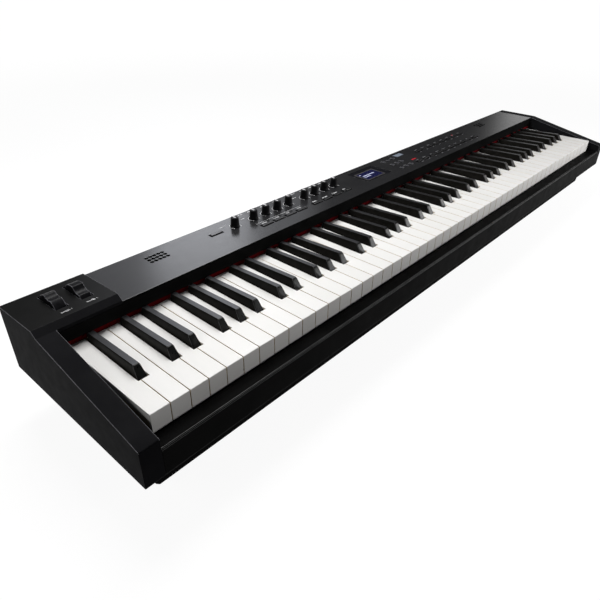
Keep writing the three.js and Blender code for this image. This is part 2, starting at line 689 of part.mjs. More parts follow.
function leftEndBlock() {
  const cheek = alongX(cheekOutline(DECK_TOP_POINTS), [-HALF_WIDTH, -CHEEK_INNER]);
  const deckOutline = [[REAR, PANEL_UNDER], ...DECK_TOP_POINTS, [FALLBOARD_FRONT, PANEL_UNDER]];
  const deck = alongX(deckOutline, [-HALF_WIDTH, DECK_RIGHT]);
  const slots = wheelX.map((x) => box(
    centred(x, WHEEL_THICKNESS + 2 * WHEEL_SLOT_GAP),
    centred(WHEEL_Y, WHEEL_CHORD + 2 * RUNNING_GAP),
    [PANEL_UNDER - OVERRUN, PANEL_TOP + DECK_FRONT_RISE + OVERRUN],
  ));
  return meshOf('left_end_block', cut(join([cheek, deck]), slots), CASE);
}

function rightEndBlock() {
  const topPoints = [[REAR, PANEL_TOP], [FALLBOARD_FRONT, PANEL_TOP]];
  return meshOf('right_end_block', alongX(cheekOutline(topPoints), [CHEEK_INNER, HALF_WIDTH]), CASE);
}

// Places on the panel
const ROW_REAR = behindShare(REAR_ROW_SHARE);
const ROW_FRONT = behindShare(FRONT_ROW_SHARE);
const knobX = KNOB_GROUP_SHARES.flatMap((share) => (
  Array.from({ length: KNOBS_PER_GROUP }, (_, step) => acrossShare(share) + step * CONTROL_PITCH)
));
const allKnobX = [acrossShare(VOLUME_SHARE), ...knobX];
const voicePlaces = Array.from({ length: VOICE_BUTTONS }, (_, step) => [
  acrossShare(VOICE_SHARE) + step * CONTROL_PITCH,
  behindShare(VOICE_ROW_SHARE),
]);
const functionPlaces = Array.from({ length: FUNCTION_BUTTONS }, (_, step) => [
  acrossShare(FUNCTION_SHARE) + step * CONTROL_PITCH,
  ROW_REAR,
]);
const cursorPlaces = [];
for (let row = 0; row < CURSOR_SIDE; row += 1) {
  for (let column = 0; column < CURSOR_SIDE; column += 1) {
    cursorPlaces.push([
      acrossShare(CURSOR_SHARE) + column * CURSOR_COLUMN_PITCH,
      behindShare(CURSOR_ROW_SHARE) + row * CURSOR_ROW_PITCH,
    ]);
  }
}
const widePlaces = [
  [acrossShare(POWER_SHARE), ROW_REAR],
  ...knobX.map((x) => [x, ROW_FRONT]),
  ...voicePlaces,
  ...functionPlaces,
];
const windowX = [acrossShare(WINDOW_SHARE), acrossShare(WINDOW_SHARE) + WINDOW_WIDTH];
const windowY = centred(behindShare(WINDOW_MIDDLE_SHARE), WINDOW_DEPTH);
const GRILLE_Y = behindShare(GRILLE_ROW_SHARE);
const grilleX = GRILLE_SHARES.map(acrossShare);

function grilleHoles(middle) {
  const holes = [];
  const through = [PANEL_UNDER - OVERRUN, PANEL_TOP + OVERRUN];
  for (let row = 0; row < GRILLE_ROWS; row += 1) {
    for (let column = 0; column < GRILLE_COLUMNS; column += 1) {
      const x = middle + (column - (GRILLE_COLUMNS - 1) / 2) * GRILLE_COLUMN_PITCH;
      const y = GRILLE_Y + (row - (GRILLE_ROWS - 1) / 2) * GRILLE_ROW_PITCH;
      holes.push(postZ(x, y, through, GRILLE_HOLE_RADIUS, GRILLE_HOLE_SIDES));
    }
  }
  return holes;
}

// Top panel: a plate with a rounded nose and the fallboard hanging from it, pierced for every control
function topPanel() {
  const inner = CHEEK_INNER - SEAT_GAP;
  const fallboardRear = FALLBOARD_FRONT + FALLBOARD_THICKNESS;
  const section = [
    [REAR, PANEL_UNDER],
    [REAR, PANEL_TOP],
    ...roundCorner([FALLBOARD_FRONT, PANEL_TOP], [-1, 0], [0, -1], PANEL_NOSE),
    [FALLBOARD_FRONT, FALLBOARD_BOTTOM],
    [fallboardRear, FALLBOARD_BOTTOM],
    [fallboardRear, PANEL_UNDER],
  ];
  const panel = alongX(section, [DECK_RIGHT + SEAT_GAP, inner]);
  const underDeck = box(
    [-inner, DECK_RIGHT + SEAT_GAP + OVERRUN],
    [FALLBOARD_FRONT, fallboardRear],
    [FALLBOARD_BOTTOM, PANEL_UNDER - SEAT_GAP],
  );
  const through = [PANEL_UNDER - OVERRUN, PANEL_TOP + OVERRUN];
  const slot = (places, width) => places.map(([x, y]) => box(
    centred(x, width + 2 * SEAT_GAP),
    centred(y, BUTTON_DEPTH + 2 * SEAT_GAP),
    through,
  ));
  const window = box(
    [windowX[0] - SEAT_GAP, windowX[1] + SEAT_GAP],
    [windowY[0] - SEAT_GAP, windowY[1] + SEAT_GAP],
    through,
  );
  const shaftHoles = allKnobX.map((x) => (
    postZ(x, ROW_REAR, through, KNOB_SHAFT_RADIUS + RUNNING_GAP, KNOB_SIDES)
  ));
  return meshOf('top_panel', cut(join([panel, underDeck]), [
    window,
    ...shaftHoles,
    ...slot(widePlaces, BUTTON_WIDTH),
    ...slot(cursorPlaces, SMALL_BUTTON_WIDTH),
    ...grilleX.flatMap(grilleHoles),
  ]), PANEL);
}

function felt() {
  return meshOf('name_felt', box(
    [-CHEEK_INNER + SEAT_GAP, CHEEK_INNER - SEAT_GAP],
    centred(FALLBOARD_FRONT + FALLBOARD_THICKNESS / 2, FELT_THICKNESS),
    [KEY_TOP + FELT_OVER_KEYS, FALLBOARD_BOTTOM - SEAT_GAP],
  ), FELT);
}

// Knobs: a flared skirt, a slim body with an eased top and a shaft down through the panel
function knobSolid() {
  const foot = PANEL_TOP + RUNNING_GAP;
  const top = PANEL_TOP + KNOB_HEIGHT;
  const body = turned([
    [0, PANEL_UNDER],
    [KNOB_SHAFT_RADIUS, PANEL_UNDER],
    [KNOB_SHAFT_RADIUS, foot],
    [KNOB_SKIRT_RADIUS, foot],
    [KNOB_SKIRT_RADIUS, foot + KNOB_SKIRT_HEIGHT],
    [KNOB_RADIUS, foot + KNOB_SKIRT_HEIGHT + KNOB_FLARE_HEIGHT],
    [KNOB_TOP_RADIUS, top - KNOB_EDGE],
    [KNOB_TOP_RADIUS - KNOB_EDGE, top],
    [0, top],
  ], KNOB_SIDES);
  const pointer = box(
    centred(0, POINTER_WIDTH),
    [0, KNOB_RADIUS + OVERRUN],
    [top - POINTER_DEPTH, top + OVERRUN],
  );
  return cut(body, [pointer]);
}

function knobs() {
  const solid = knobSolid();
  return allKnobX.map((x, index) => {
    const knob = meshOf(index === 0 ? 'volume_knob' : `tone_knob_${index}`, solid, KNOB);
    knob.position.set(x, ROW_REAR, 0);
    return knob;
  });
}

// Buttons: a cap with eased top edges on a stem that ends over its switch
const BUTTON_TOP = PANEL_TOP + BUTTON_PROUD;
const BUTTON_BOTTOM = PANEL_UNDER - BUTTON_STEM;

function buttonSolid(x, y, width) {
  const half = { width: width / 2, depth: BUTTON_DEPTH / 2 };
  const corners = [];
  for (const a of [-1, 1]) {
    for (const b of [-1, 1]) {
      const corner = (inset, z) => (
        corners.push(new THREE.Vector3(x + a * (half.width - inset), y + b * (half.depth - inset), z))
      );
      corner(0, BUTTON_BOTTOM);
      corner(0, BUTTON_TOP - BUTTON_EDGE);
      corner(BUTTON_EDGE, BUTTON_TOP);
    }
  }
  return solidOf(new ConvexGeometry(corners));
}

// Rows of small buttons share one moulded carrier under the panel
const CARRIER_Z = [BUTTON_BOTTOM, BUTTON_BOTTOM + CARRIER_HEIGHT];

function rowCarrier(places) {
  const first = places[0];
  const last = places[places.length - 1];
  return box([first[0], last[0]], centred(first[1], CARRIER_WIDTH), CARRIER_Z);
}

function buttons() {
  const power = meshOf('power_button', buttonSolid(0, 0, BUTTON_WIDTH), KNOB);
  power.position.set(acrossShare(POWER_SHARE), ROW_REAR, 0);
  const select = knobX.map((x, index) => {
    const button = meshOf(`select_button_${index + 1}`, buttonSolid(0, 0, BUTTON_WIDTH), KNOB);
    button.position.set(x, ROW_FRONT, 0);
    return button;
  });
  const row = (name, places) => meshOf(name, join([
    rowCarrier(places),
    ...places.map(([x, y]) => buttonSolid(x, y, BUTTON_WIDTH)),
  ]), KNOB);
  const cursorRows = Array.from({ length: CURSOR_SIDE }, (_, line) => (
    rowCarrier(cursorPlaces.slice(line * CURSOR_SIDE, (line + 1) * CURSOR_SIDE))
  ));
  const spine = box(
    centred(cursorPlaces[1][0], CARRIER_WIDTH),
    [cursorPlaces[0][1], cursorPlaces[cursorPlaces.length - 1][1]],
    CARRIER_Z,
  );
  const cursor = meshOf('cursor_buttons', join([
    spine,
    ...cursorRows,
    ...cursorPlaces.map(([x, y]) => buttonSolid(x, y, SMALL_BUTTON_WIDTH)),
  ]), KNOB);
  return [power, ...select, cursor, row('voice_buttons', voicePlaces), row('function_buttons', functionPlaces)];
}

// Display: a window flush in the panel over a module with a sunken screen
const moduleX = [windowX[0] - MODULE_MARGIN, windowX[1] + MODULE_MARGIN];
const moduleY = [windowY[0] - MODULE_MARGIN, windowY[1] + MODULE_MARGIN];
const MODULE_TOP = PANEL_UNDER - SEAT_GAP;

function display() {
  const window = box(windowX, windowY, [PANEL_UNDER, PANEL_TOP - SEAT_GAP]);
  const block = box(moduleX, moduleY, [MODULE_TOP - MODULE_HEIGHT, MODULE_TOP]);
  const screenLeft = windowX[0] + SCREEN_MARGIN_SIDE;
  const screenFront = windowY[0] + SCREEN_MARGIN_FRONT;
  const screen = box(
    [screenLeft, screenLeft + SCREEN_WIDTH],
    [screenFront, screenFront + SCREEN_DEPTH],
    [MODULE_TOP - SCREEN_RECESS, MODULE_TOP + OVERRUN],
  );
  return [meshOf('display_window', window, GLASS), meshOf('display_module', cut(block, [screen]), SCREEN)];
}

// Speakers: a flange under the grille with a basket, a sunken mouth and a magnet below
function speakers() {
  const top = PANEL_UNDER - SEAT_GAP;
  const basketBottom = top - SPEAKER_FLANGE - SPEAKER_BASKET_HEIGHT;
  const flange = box(centred(0, SPEAKER_WIDTH), centred(0, SPEAKER_DEPTH), [top - SPEAKER_FLANGE, top]);
  const basket = turned([
    [0, basketBottom - SPEAKER_MAGNET_HEIGHT],
    [SPEAKER_MAGNET_RADIUS, basketBottom - SPEAKER_MAGNET_HEIGHT],
    [SPEAKER_MAGNET_RADIUS, basketBottom],
    [SPEAKER_BASKET_RADIUS, top - SPEAKER_FLANGE / 2],
    [0, top - SPEAKER_FLANGE / 2],
  ], ROUND_SIDES);
  const mouth = turned([
    [0, top - SPEAKER_MOUTH_DEPTH],
    [SPEAKER_MOUTH_RADIUS / 2, top - SPEAKER_MOUTH_DEPTH],
    [SPEAKER_MOUTH_RADIUS, top + OVERRUN],
    [0, top + OVERRUN],
  ], ROUND_SIDES);
  const solid = cut(join([flange, basket]), [mouth]);
  return ['speaker_left', 'speaker_right'].map((name, index) => {
    const speaker = meshOf(name, solid, SPEAKER);
    speaker.position.set(grilleX[index], GRILLE_Y, 0);
    return speaker;
  });
}

// Control board under the panel, with a potentiometer under each knob and a switch under each button
const BOARD_TOP = PANEL_UNDER - BOARD_DROP;

function mainBoard() {
  const last = voicePlaces[voicePlaces.length - 1];
  const board = box(
    [acrossShare(POWER_SHARE) - BOARD_MARGIN, last[0] + BOARD_MARGIN],
    [voicePlaces[0][1] - BUTTON_DEPTH, REAR_PANEL_FRONT - RUNNING_GAP],
    [BOARD_TOP - BOARD_THICKNESS, BOARD_TOP],
  );
  const displayRoom = box(
    [moduleX[0] - SEAT_GAP, moduleX[1] + SEAT_GAP],
    [moduleY[0] - SEAT_GAP, moduleY[1] + SEAT_GAP],
    [BOARD_TOP - BOARD_THICKNESS - OVERRUN, BOARD_TOP + OVERRUN],
  );
  const pots = allKnobX.map((x) => box(
    centred(x, POT_WIDTH),
    centred(ROW_REAR, POT_WIDTH),
    [BOARD_TOP - BOARD_THICKNESS / 2, PANEL_UNDER - SEAT_GAP],
  ));
  const switches = [...widePlaces, ...cursorPlaces].map(([x, y]) => box(
    centred(x, SWITCH_WIDTH),
    centred(y, BUTTON_DEPTH),
    [BOARD_TOP - BOARD_THICKNESS / 2, BUTTON_BOTTOM - BUTTON_TRAVEL - SEAT_GAP],
  ));
  return meshOf('main_board', join([cut(board, [displayRoom]), ...pots, ...switches]), BOARD);
}

// Rear sockets on their board, each nose reaching through the rear panel
const JACK_BOARD_Z = keyZ(-LEVER_TOP_DROP) + JACK_BOARD_OVER_KEYS;
const JACK_FACE = REAR_PANEL_FRONT - SEAT_GAP;
const JACK_MOUTH = REAR - SEAT_GAP;
const socketX = REAR_SOCKETS.map((_, index) => acrossShare(JACKS_SHARE + index * JACK_PITCH_SHARE));
const SOCKET_ROOM = BOARD_TOP - BOARD_THICKNESS - SOCKET_HEADROOM - JACK_BOARD_Z - BOARD_THICKNESS;
const SOCKET_Z = JACK_BOARD_Z + BOARD_THICKNESS + SOCKET_ROOM / 2;

const ROUND_SOCKETS = {
  jack: {
    width: JACK_BODY_WIDTH,
    height: SOCKET_ROOM * JACK_HEIGHT_SHARE,
    nose: JACK_NOSE_RADIUS,
    bore: JACK_BORE_RADIUS,
    depth: JACK_BORE_DEPTH,
  },
  din: {
    width: DIN_BODY_WIDTH,
    height: SOCKET_ROOM,
    nose: DIN_NOSE_RADIUS,
    bore: DIN_BORE_RADIUS,
    depth: DIN_BORE_DEPTH,
  },
  inlet: {
    width: JACK_BODY_WIDTH,
    height: SOCKET_ROOM * JACK_HEIGHT_SHARE,
    nose: INLET_NOSE_RADIUS,
    bore: INLET_BORE_RADIUS,
    depth: INLET_BORE_DEPTH,
  },
};

function roundSocket(x, { width, height, nose, bore, depth }) {
  const body = box(
    centred(x, width),
    [JACK_FACE - JACK_BODY_DEPTH, JACK_FACE],
    [JACK_BOARD_Z + BOARD_THICKNESS / 2, SOCKET_Z + height / 2],
  );
  const barrel = rodY(x, SOCKET_Z, [JACK_FACE - OVERRUN, JACK_MOUTH], nose, ROUND_SIDES);
  const hole = rodY(x, SOCKET_Z, [JACK_MOUTH - depth, JACK_MOUTH + OVERRUN], bore, ROUND_SIDES);
  return cut(join([body, barrel]), [hole]);
}

function portSocket(x) {
  const outer = [centred(x, PORT_WIDTH + 2 * PORT_FRAME), centred(SOCKET_Z, PORT_HEIGHT + 2 * PORT_FRAME)];
  const body = box(outer[0], [JACK_FACE - JACK_BODY_DEPTH / 2, JACK_MOUTH], [outer[1][0], outer[1][1]]);
  const base = box(
    outer[0],
    [JACK_FACE - JACK_BODY_DEPTH / 2, JACK_FACE],
    [JACK_BOARD_Z + BOARD_THICKNESS / 2, SOCKET_Z],
  );
  const hole = box(
    centred(x, PORT_WIDTH),
    [JACK_MOUTH - PORT_OPENING_DEPTH, JACK_MOUTH + OVERRUN],
    centred(SOCKET_Z, PORT_HEIGHT),
  );
  return cut(join([body, base]), [hole]);
}

function jackBoard() {
  const reach = JACK_BODY_WIDTH / 2 + JACK_BOARD_MARGIN;
  const board = box(
    [socketX[0] - reach, socketX[socketX.length - 1] + reach],
    [JACK_FACE - JACK_BOARD_DEPTH, JACK_FACE],
    [JACK_BOARD_Z, JACK_BOARD_Z + BOARD_THICKNESS],
  );
  const sockets = REAR_SOCKETS.map((kind, index) => (
    kind === 'port' ? portSocket(socketX[index]) : roundSocket(socketX[index], ROUND_SOCKETS[kind])
  ));
  return meshOf('jack_board', join([board, ...sockets]), BOARD);
}

function rearPanel() {
  const inner = CHEEK_INNER - SEAT_GAP;
  const sheet = box([-inner, inner], [REAR_PANEL_FRONT, REAR], [CASE_BOTTOM, PANEL_UNDER - SEAT_GAP]);
  const through = [REAR_PANEL_FRONT - OVERRUN, REAR + OVERRUN];
  const holes = REAR_SOCKETS.map((kind, index) => (
    kind === 'port'
      ? box(
        centred(socketX[index], PORT_WIDTH + 2 * PORT_FRAME + 2 * SEAT_GAP),
        through,
        centred(SOCKET_Z, PORT_HEIGHT + 2 * PORT_FRAME + 2 * SEAT_GAP),
      )
      : rodY(socketX[index], SOCKET_Z, through, ROUND_SOCKETS[kind].nose + RUNNING_GAP, ROUND_SIDES)
  ));
  return meshOf('rear_panel', cut(sheet, holes), TRAY);
}

// Wheels: a disc with a finger valley on an axle, carried by a bracket under the deck
function wheelSolid(restAngle) {
  const half = WHEEL_THICKNESS / 2;
  const axleHalf = half + BRACKET_SIDE_GAP + BRACKET_SHEET;
  const disc = rodX(0, 0, [-half, half], WHEEL_RADIUS, WHEEL_SIDES);
  const valleyZ = WHEEL_RADIUS - WHEEL_VALLEY_DEPTH + WHEEL_VALLEY_RADIUS;
  const valley = rodX(0, valleyZ, overrun([-half, half]), WHEEL_VALLEY_RADIUS, WHEEL_SIDES);
  const axle = rodX(0, 0, [-axleHalf, axleHalf], WHEEL_AXLE_RADIUS, ROUND_SIDES);
  return join([cut(disc, [valley]), axle]).rotate([-restAngle, 0, 0]);
}

function wheels() {
  const restAngles = [PITCH_REST_ANGLE, MODULATION_REST_ANGLE];
  return ['pitch_wheel', 'modulation_wheel'].map((name, index) => {
    const wheel = meshOf(name, wheelSolid(restAngles[index]), KNOB);
    wheel.position.set(wheelX[index], WHEEL_Y, WHEEL_Z);
    return wheel;
  });
}

function wheelBracket() {
  const sideZ = [BRACKET_BOTTOM, PANEL_UNDER - SEAT_GAP];
  const inner = WHEEL_THICKNESS / 2 + BRACKET_SIDE_GAP;
  const length = centred(WHEEL_Y, BRACKET_LENGTH);
  const sides = wheelX.flatMap((x) => [
    box([x - inner - BRACKET_SHEET, x - inner], length, sideZ),
    box([x + inner, x + inner + BRACKET_SHEET], length, sideZ),
  ]);
  const ends = [wheelX[0] - inner - BRACKET_SHEET, wheelX[1] + inner + BRACKET_SHEET];
  const base = box(ends, length, [sideZ[0], sideZ[0] + BRACKET_SHEET]);
  const bearing = rodX(WHEEL_Y, WHEEL_Z, overrun(ends), WHEEL_AXLE_RADIUS + SEAT_GAP, ROUND_SIDES);
  return meshOf('wheel_bracket', cut(join([base, ...sides]), [bearing]), STEEL);
}

const piano = new THREE.Group();
piano.name = 'stage_piano';
piano.add(
  bottomChassis(),
  ...feet(),
  frontRail(),
  leftEndBlock(),
  rightEndBlock(),
  topPanel(),
  rearPanel(),
  keyFrame(),
  felt(),
  ...keys(),
  ...knobs(),
  ...buttons(),
  ...display(),
  ...speakers(),
  mainBoard(),
  jackBoard(),
  ...wheels(),
  wheelBracket(),
);

export default piano;
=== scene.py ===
import json
import math

import bmesh
import bpy
from mathutils import Matrix, Vector

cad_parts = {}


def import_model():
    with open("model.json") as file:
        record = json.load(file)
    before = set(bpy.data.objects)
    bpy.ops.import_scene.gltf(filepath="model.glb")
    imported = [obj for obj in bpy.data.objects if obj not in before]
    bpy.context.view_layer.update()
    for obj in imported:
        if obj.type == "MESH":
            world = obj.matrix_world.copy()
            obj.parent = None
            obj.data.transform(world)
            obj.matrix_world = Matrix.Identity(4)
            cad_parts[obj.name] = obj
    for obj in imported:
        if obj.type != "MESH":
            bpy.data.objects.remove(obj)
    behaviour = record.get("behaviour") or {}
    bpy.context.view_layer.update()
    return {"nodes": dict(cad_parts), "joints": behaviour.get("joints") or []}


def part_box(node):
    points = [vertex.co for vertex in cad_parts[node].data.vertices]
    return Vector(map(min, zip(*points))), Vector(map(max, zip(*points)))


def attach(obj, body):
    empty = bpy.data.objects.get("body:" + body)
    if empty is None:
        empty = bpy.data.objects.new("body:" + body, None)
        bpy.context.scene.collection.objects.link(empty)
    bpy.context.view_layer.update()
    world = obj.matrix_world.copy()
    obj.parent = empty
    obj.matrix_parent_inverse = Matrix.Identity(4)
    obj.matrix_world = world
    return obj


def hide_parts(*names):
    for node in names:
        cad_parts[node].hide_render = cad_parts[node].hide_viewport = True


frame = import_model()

MM = 0.001
WELD = 0.002 * MM
FLAT = math.radians(1)
SHARP = math.radians(50)
BLUNT = math.radians(20)
HAIR = 0.06 * MM
FACE_WEIGHT = 100

# Sizes read from the frame
PANEL_LOW, PANEL_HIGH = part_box("top_panel")
WINDOW_LOW, WINDOW_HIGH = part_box("display_window")
DECK_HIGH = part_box("left_end_block")[1]
REAR_LOW, REAR_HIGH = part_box("rear_panel")
TRAY_LOW, TRAY_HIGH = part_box("bottom_chassis")
BUTTON_LOW, BUTTON_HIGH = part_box("select_button_1")
PANEL_TOP = PANEL_HIGH.z
PANEL_UNDER = WINDOW_LOW.z
REAR = PANEL_HIGH.y
FALLBOARD_FRONT = PANEL_LOW.y
DECK_RIGHT = DECK_HIGH.x
SEAM = 0.3 * MM
KEY_PITCH = 23.5714 * MM
CASE_BODY = "case"
KNOBS = ["volume_knob"] + [f"tone_knob_{place}" for place in range(1, 9)]
SELECTS = [f"select_button_{place}" for place in range(1, 9)]
MIDDLE_LETTERS = ["c", "d", "e", "f", "g", "a", "b"]
MIDDLE_SHARPS = ["cs", "ds", "fs", "gs", "as"]


def centre_of(node):
    low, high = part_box(node)
    return (low + high) / 2


def joint_place(name):
    return Vector(next(joint["pos_m"] for joint in frame["joints"] if joint["name"] == name))


def spread(low, high, count, width):
    """Middles of a row of equal caps that fills a span."""
    first = low + width / 2
    step = (high - low - width) / (count - 1)
    return [first + place * step for place in range(count)]


BUTTON_WIDTH = BUTTON_HIGH.x - BUTTON_LOW.x
BUTTON_DEPTH = BUTTON_HIGH.y - BUTTON_LOW.y


def row_of(node, count):
    low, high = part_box(node)
    middle = (low.y + high.y) / 2
    return [(x, middle) for x in spread(low.x, high.x, count, BUTTON_WIDTH)]


VOICE_PLACES = row_of("voice_buttons", 10)
FUNCTION_PLACES = row_of("function_buttons", 8)
CURSOR_WIDTH = 9 * MM
CURSOR_LOW, CURSOR_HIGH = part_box("cursor_buttons")
CURSOR_PLACES = [
    (x, y)
    for y in spread(CURSOR_LOW.y, CURSOR_HIGH.y, 3, BUTTON_DEPTH)
    for x in spread(CURSOR_LOW.x, CURSOR_HIGH.x, 3, CURSOR_WIDTH)
]


# Materials
NOISE_LOW, NOISE_HIGH = 0.3, 0.7
DIM_SHARE = 0.82
COLOUR_A, COLOUR_B, COLOUR_OUT = 6, 7, 2


class Tree:
    """A material's nodes, added and joined by name."""

    def __init__(self, name):
        self.material = bpy.data.materials.new(name)
        self.material.use_nodes = True
        self.nodes = self.material.node_tree.nodes
        self.links = self.material.node_tree.links
        self.shader = self.nodes["Principled BSDF"]
        self.place = self.add("ShaderNodeTexCoord").outputs["Object"]

    def add(self, kind, **values):
        node = self.nodes.new(kind)
        for name, value in values.items():
            setattr(node, name, value)
        return node

    def join(self, source, target):
        self.links.new(source, target)

    def noise(self, size, detail=2, stretch=(1, 1, 1)):
        """Noise whose features are about size across, drawn out along an axis by stretch."""
        mapping = self.add("ShaderNodeMapping")
        mapping.inputs["Scale"].default_value = [1 / (size * share) for share in stretch]
        texture = self.add("ShaderNodeTexNoise")
        texture.inputs["Scale"].default_value = 1
        texture.inputs["Detail"].default_value = detail
        self.join(self.place, mapping.inputs["Vector"])
        self.join(mapping.outputs["Vector"], texture.inputs["Vector"])
        return texture.outputs["Fac"]

    def ramp(self, factor, dark, pale, low=0.35, high=0.65):
        ramp = self.add("ShaderNodeValToRGB")
        first, last = ramp.color_ramp.elements
        first.position, last.position = low, high
        first.color, last.color = (*dark, 1), (*pale, 1)
        self.join(factor, ramp.inputs["Fac"])
        return ramp.outputs["Color"]

    def span(self, factor, low, high):
        node = self.add("ShaderNodeMapRange")
        node.inputs["From Min"].default_value = NOISE_LOW
        node.inputs["From Max"].default_value = NOISE_HIGH
        node.inputs["To Min"].default_value = low
        node.inputs["To Max"].default_value = high
        self.join(factor, node.inputs["Value"])
        return node.outputs["Result"]

    def bump(self, height, depth, strength=1.0):
        node = self.add("ShaderNodeBump")
        node.inputs["Strength"].default_value = strength
        node.inputs["Distance"].default_value = depth
        self.join(height, node.inputs["Height"])
        self.join(node.outputs["Normal"], self.shader.inputs["Normal"])

    def set(self, **values):
        for name, value in values.items():
            self.shader.inputs[name.replace("_", " ")].default_value = value


def grey(tone):
    return tone, tone, tone


def plastic(name, dark, pale, rough, grain, depth, blotch=40 * MM, specular=0.5, metallic=0.0):
    """Moulded or painted plastic: cloudy tone, uneven sheen and a fine grain."""
    tree = Tree(name)
    tree.set(Metallic=metallic, Specular_IOR_Level=specular)
    cloud = tree.noise(blotch, detail=3)
    tree.join(tree.ramp(cloud, dark, pale), tree.shader.inputs["Base Color"])
    tree.join(tree.span(tree.noise(blotch / 3), *rough), tree.shader.inputs["Roughness"])
    tree.bump(tree.noise(grain, detail=3), depth)
    return tree.material


def ebony():
    """Black keys: a soft sheen with a faint lengthwise grain."""
    tree = Tree("ebony")
    tree.set(Specular_IOR_Level=0.6, Specular_Tint=(0.90, 0.92, 1, 1))
    grain = tree.noise(0.5 * MM, detail=4, stretch=(1, 30, 1))
    colour = tree.ramp(grain, grey(0.005), grey(0.008))
    tree.join(colour, tree.shader.inputs["Base Color"])
    tree.join(tree.span(tree.noise(9 * MM), 0.38, 0.41), tree.shader.inputs["Roughness"])
    tree.bump(grain, 0.0002 * MM)
    return tree.material


def ivory():
    """White key caps: warm white, each key a shade of its own, with a fine lengthwise grain."""
    tree = Tree("ivory")
    tree.set(Specular_IOR_Level=0.4)
    parts = tree.add("ShaderNodeSeparateXYZ")
    tree.join(tree.place, parts.inputs["Vector"])
    scaled = tree.add("ShaderNodeMath", operation="DIVIDE")
    scaled.inputs[1].default_value = KEY_PITCH
    tree.join(parts.outputs["X"], scaled.inputs[0])
    floor = tree.add("ShaderNodeMath", operation="FLOOR")
    tree.join(scaled.outputs["Value"], floor.inputs[0])
    chance = tree.add("ShaderNodeTexWhiteNoise", noise_dimensions="1D")
    tree.join(floor.outputs["Value"], chance.inputs["W"])
    own = tree.ramp(chance.outputs["Value"], (0.775, 0.765, 0.745), (0.81, 0.80, 0.785), low=0, high=1)
    grain = tree.noise(0.6 * MM, detail=4, stretch=(1, 40, 1))
    mix = tree.add("ShaderNodeMix", data_type="RGBA", blend_type="MULTIPLY")
    mix.inputs["Factor"].default_value = 1
    tree.join(own, mix.inputs[COLOUR_A])
    tree.join(tree.ramp(grain, (0.985, 0.985, 0.98), (1, 1, 1)), mix.inputs[COLOUR_B])
    tree.join(mix.outputs[COLOUR_OUT], tree.shader.inputs["Base Color"])
    tree.join(tree.span(tree.noise(14 * MM), 0.30, 0.36), tree.shader.inputs["Roughness"])
    tree.bump(grain, 0.0005 * MM)
    return tree.material


def wood():
    """Key levers: pale softwood with long grain."""
    tree = Tree("lever_wood")
    tree.set(Specular_IOR_Level=0.3)
    grain = tree.noise(2.2 * MM, detail=5, stretch=(1, 25, 1))
    colour = tree.ramp(grain, (0.62, 0.52, 0.40), (0.80, 0.72, 0.60))
    tree.join(colour, tree.shader.inputs["Base Color"])
    tree.join(tree.span(grain, 0.5, 0.7), tree.shader.inputs["Roughness"])
    tree.bump(grain, 0.05 * MM)
    return tree.material


def felt():
    """Dark red felt with a nap of short crossed fibres."""
    tree = Tree("red_felt")
    tree.set(Sheen_Weight=0.02, Sheen_Roughness=0.5, Specular_IOR_Level=0.02, Roughness=0.95)
    fibre = tree.noise(0.35 * MM, detail=5, stretch=(3, 1, 1))
    colour = tree.ramp(fibre, (0.060, 0.001, 0.002), (0.150, 0.002, 0.004))
    tree.join(colour, tree.shader.inputs["Base Color"])
    tree.bump(fibre, 0.3 * MM)
    return tree.material


def steel():
    """Folded sheet with a rolled direction."""
    tree = Tree("sheet_steel")
    tree.set(Metallic=1.0)
    rolled = tree.noise(0.8 * MM, detail=4, stretch=(60, 1, 1))
    colour = tree.ramp(rolled, (0.36, 0.36, 0.38), (0.50, 0.50, 0.52))
    tree.join(colour, tree.shader.inputs["Base Color"])
    tree.join(tree.span(rolled, 0.3, 0.42), tree.shader.inputs["Roughness"])
    tree.bump(rolled, 0.01 * MM)
    return tree.material


def glowing(name, colour, strength, rough=(0.2, 0.3), cell=0.4 * MM):
    """A lit face: a dim base with its own light, broken into fine cells."""
    tree = Tree(name)
    tree.set(Emission_Strength=strength, Specular_IOR_Level=0.4)
    cells = tree.noise(cell, detail=1)
    dim = tuple(DIM_SHARE * part for part in colour)
    shade = tree.ramp(cells, dim, colour)
    tree.join(shade, tree.shader.inputs["Base Color"])
    tree.join(shade, tree.shader.inputs["Emission Color"])
    tree.join(tree.span(cells, *rough), tree.shader.inputs["Roughness"])
    return tree.material


def ink(name, dark, pale):
    return plastic(name, dark, pale, (0.5, 0.6), 0.15 * MM, 0.002 * MM, blotch=3 * MM, specular=0.3)


CASE = plastic(
    "case_plastic", (0.008, 0.008, 0.009), (0.011, 0.011, 0.012),
    (0.40, 0.47), 0.45 * MM, 0.012 * MM, specular=0.004,
)
# The case's eased edges, in a brighter colour: a painted highlight.
CASE_EDGE_HIGHLIGHT = plastic(
    "case_edge_highlight", (0.095, 0.095, 0.104), (0.130, 0.130, 0.142),
    (0.34, 0.42), 0.45 * MM, 0.01 * MM, blotch=15 * MM, specular=0.15,
)
PANEL = plastic(
    "panel_paint", (0.012, 0.012, 0.013), (0.015, 0.015, 0.016),
    (0.22, 0.25), 0.3 * MM, 0.001 * MM, specular=0.6,
)
DECK = plastic("deck_paint", grey(0.006), grey(0.009), (0.30, 0.34), 0.3 * MM, 0.001 * MM, specular=0.12)
RAIL = plastic(
    "rail_plastic", grey(0.002), grey(0.004), (0.42, 0.5), 0.4 * MM, 0.012 * MM, specular=0.007,
)
# The rail's eased upper front edge, in a brighter colour: a painted highlight.
RAIL_EDGE_HIGHLIGHT = plastic(
    "rail_edge_highlight", grey(0.045), grey(0.065),
    (0.34, 0.42), 0.45 * MM, 0.01 * MM, blotch=15 * MM, specular=0.1,
)
# The fallboard's own dull dark plastic. On the caps' flanks and the panel plate's rims and hole walls it is
# painted shade in the gaps.
FALLBOARD_AND_GAP_SHADE = plastic(
    "fallboard_and_gap_shade", grey(0.0045), grey(0.007), (0.5, 0.6), 0.4 * MM, 0.012 * MM, specular=0.003,
)
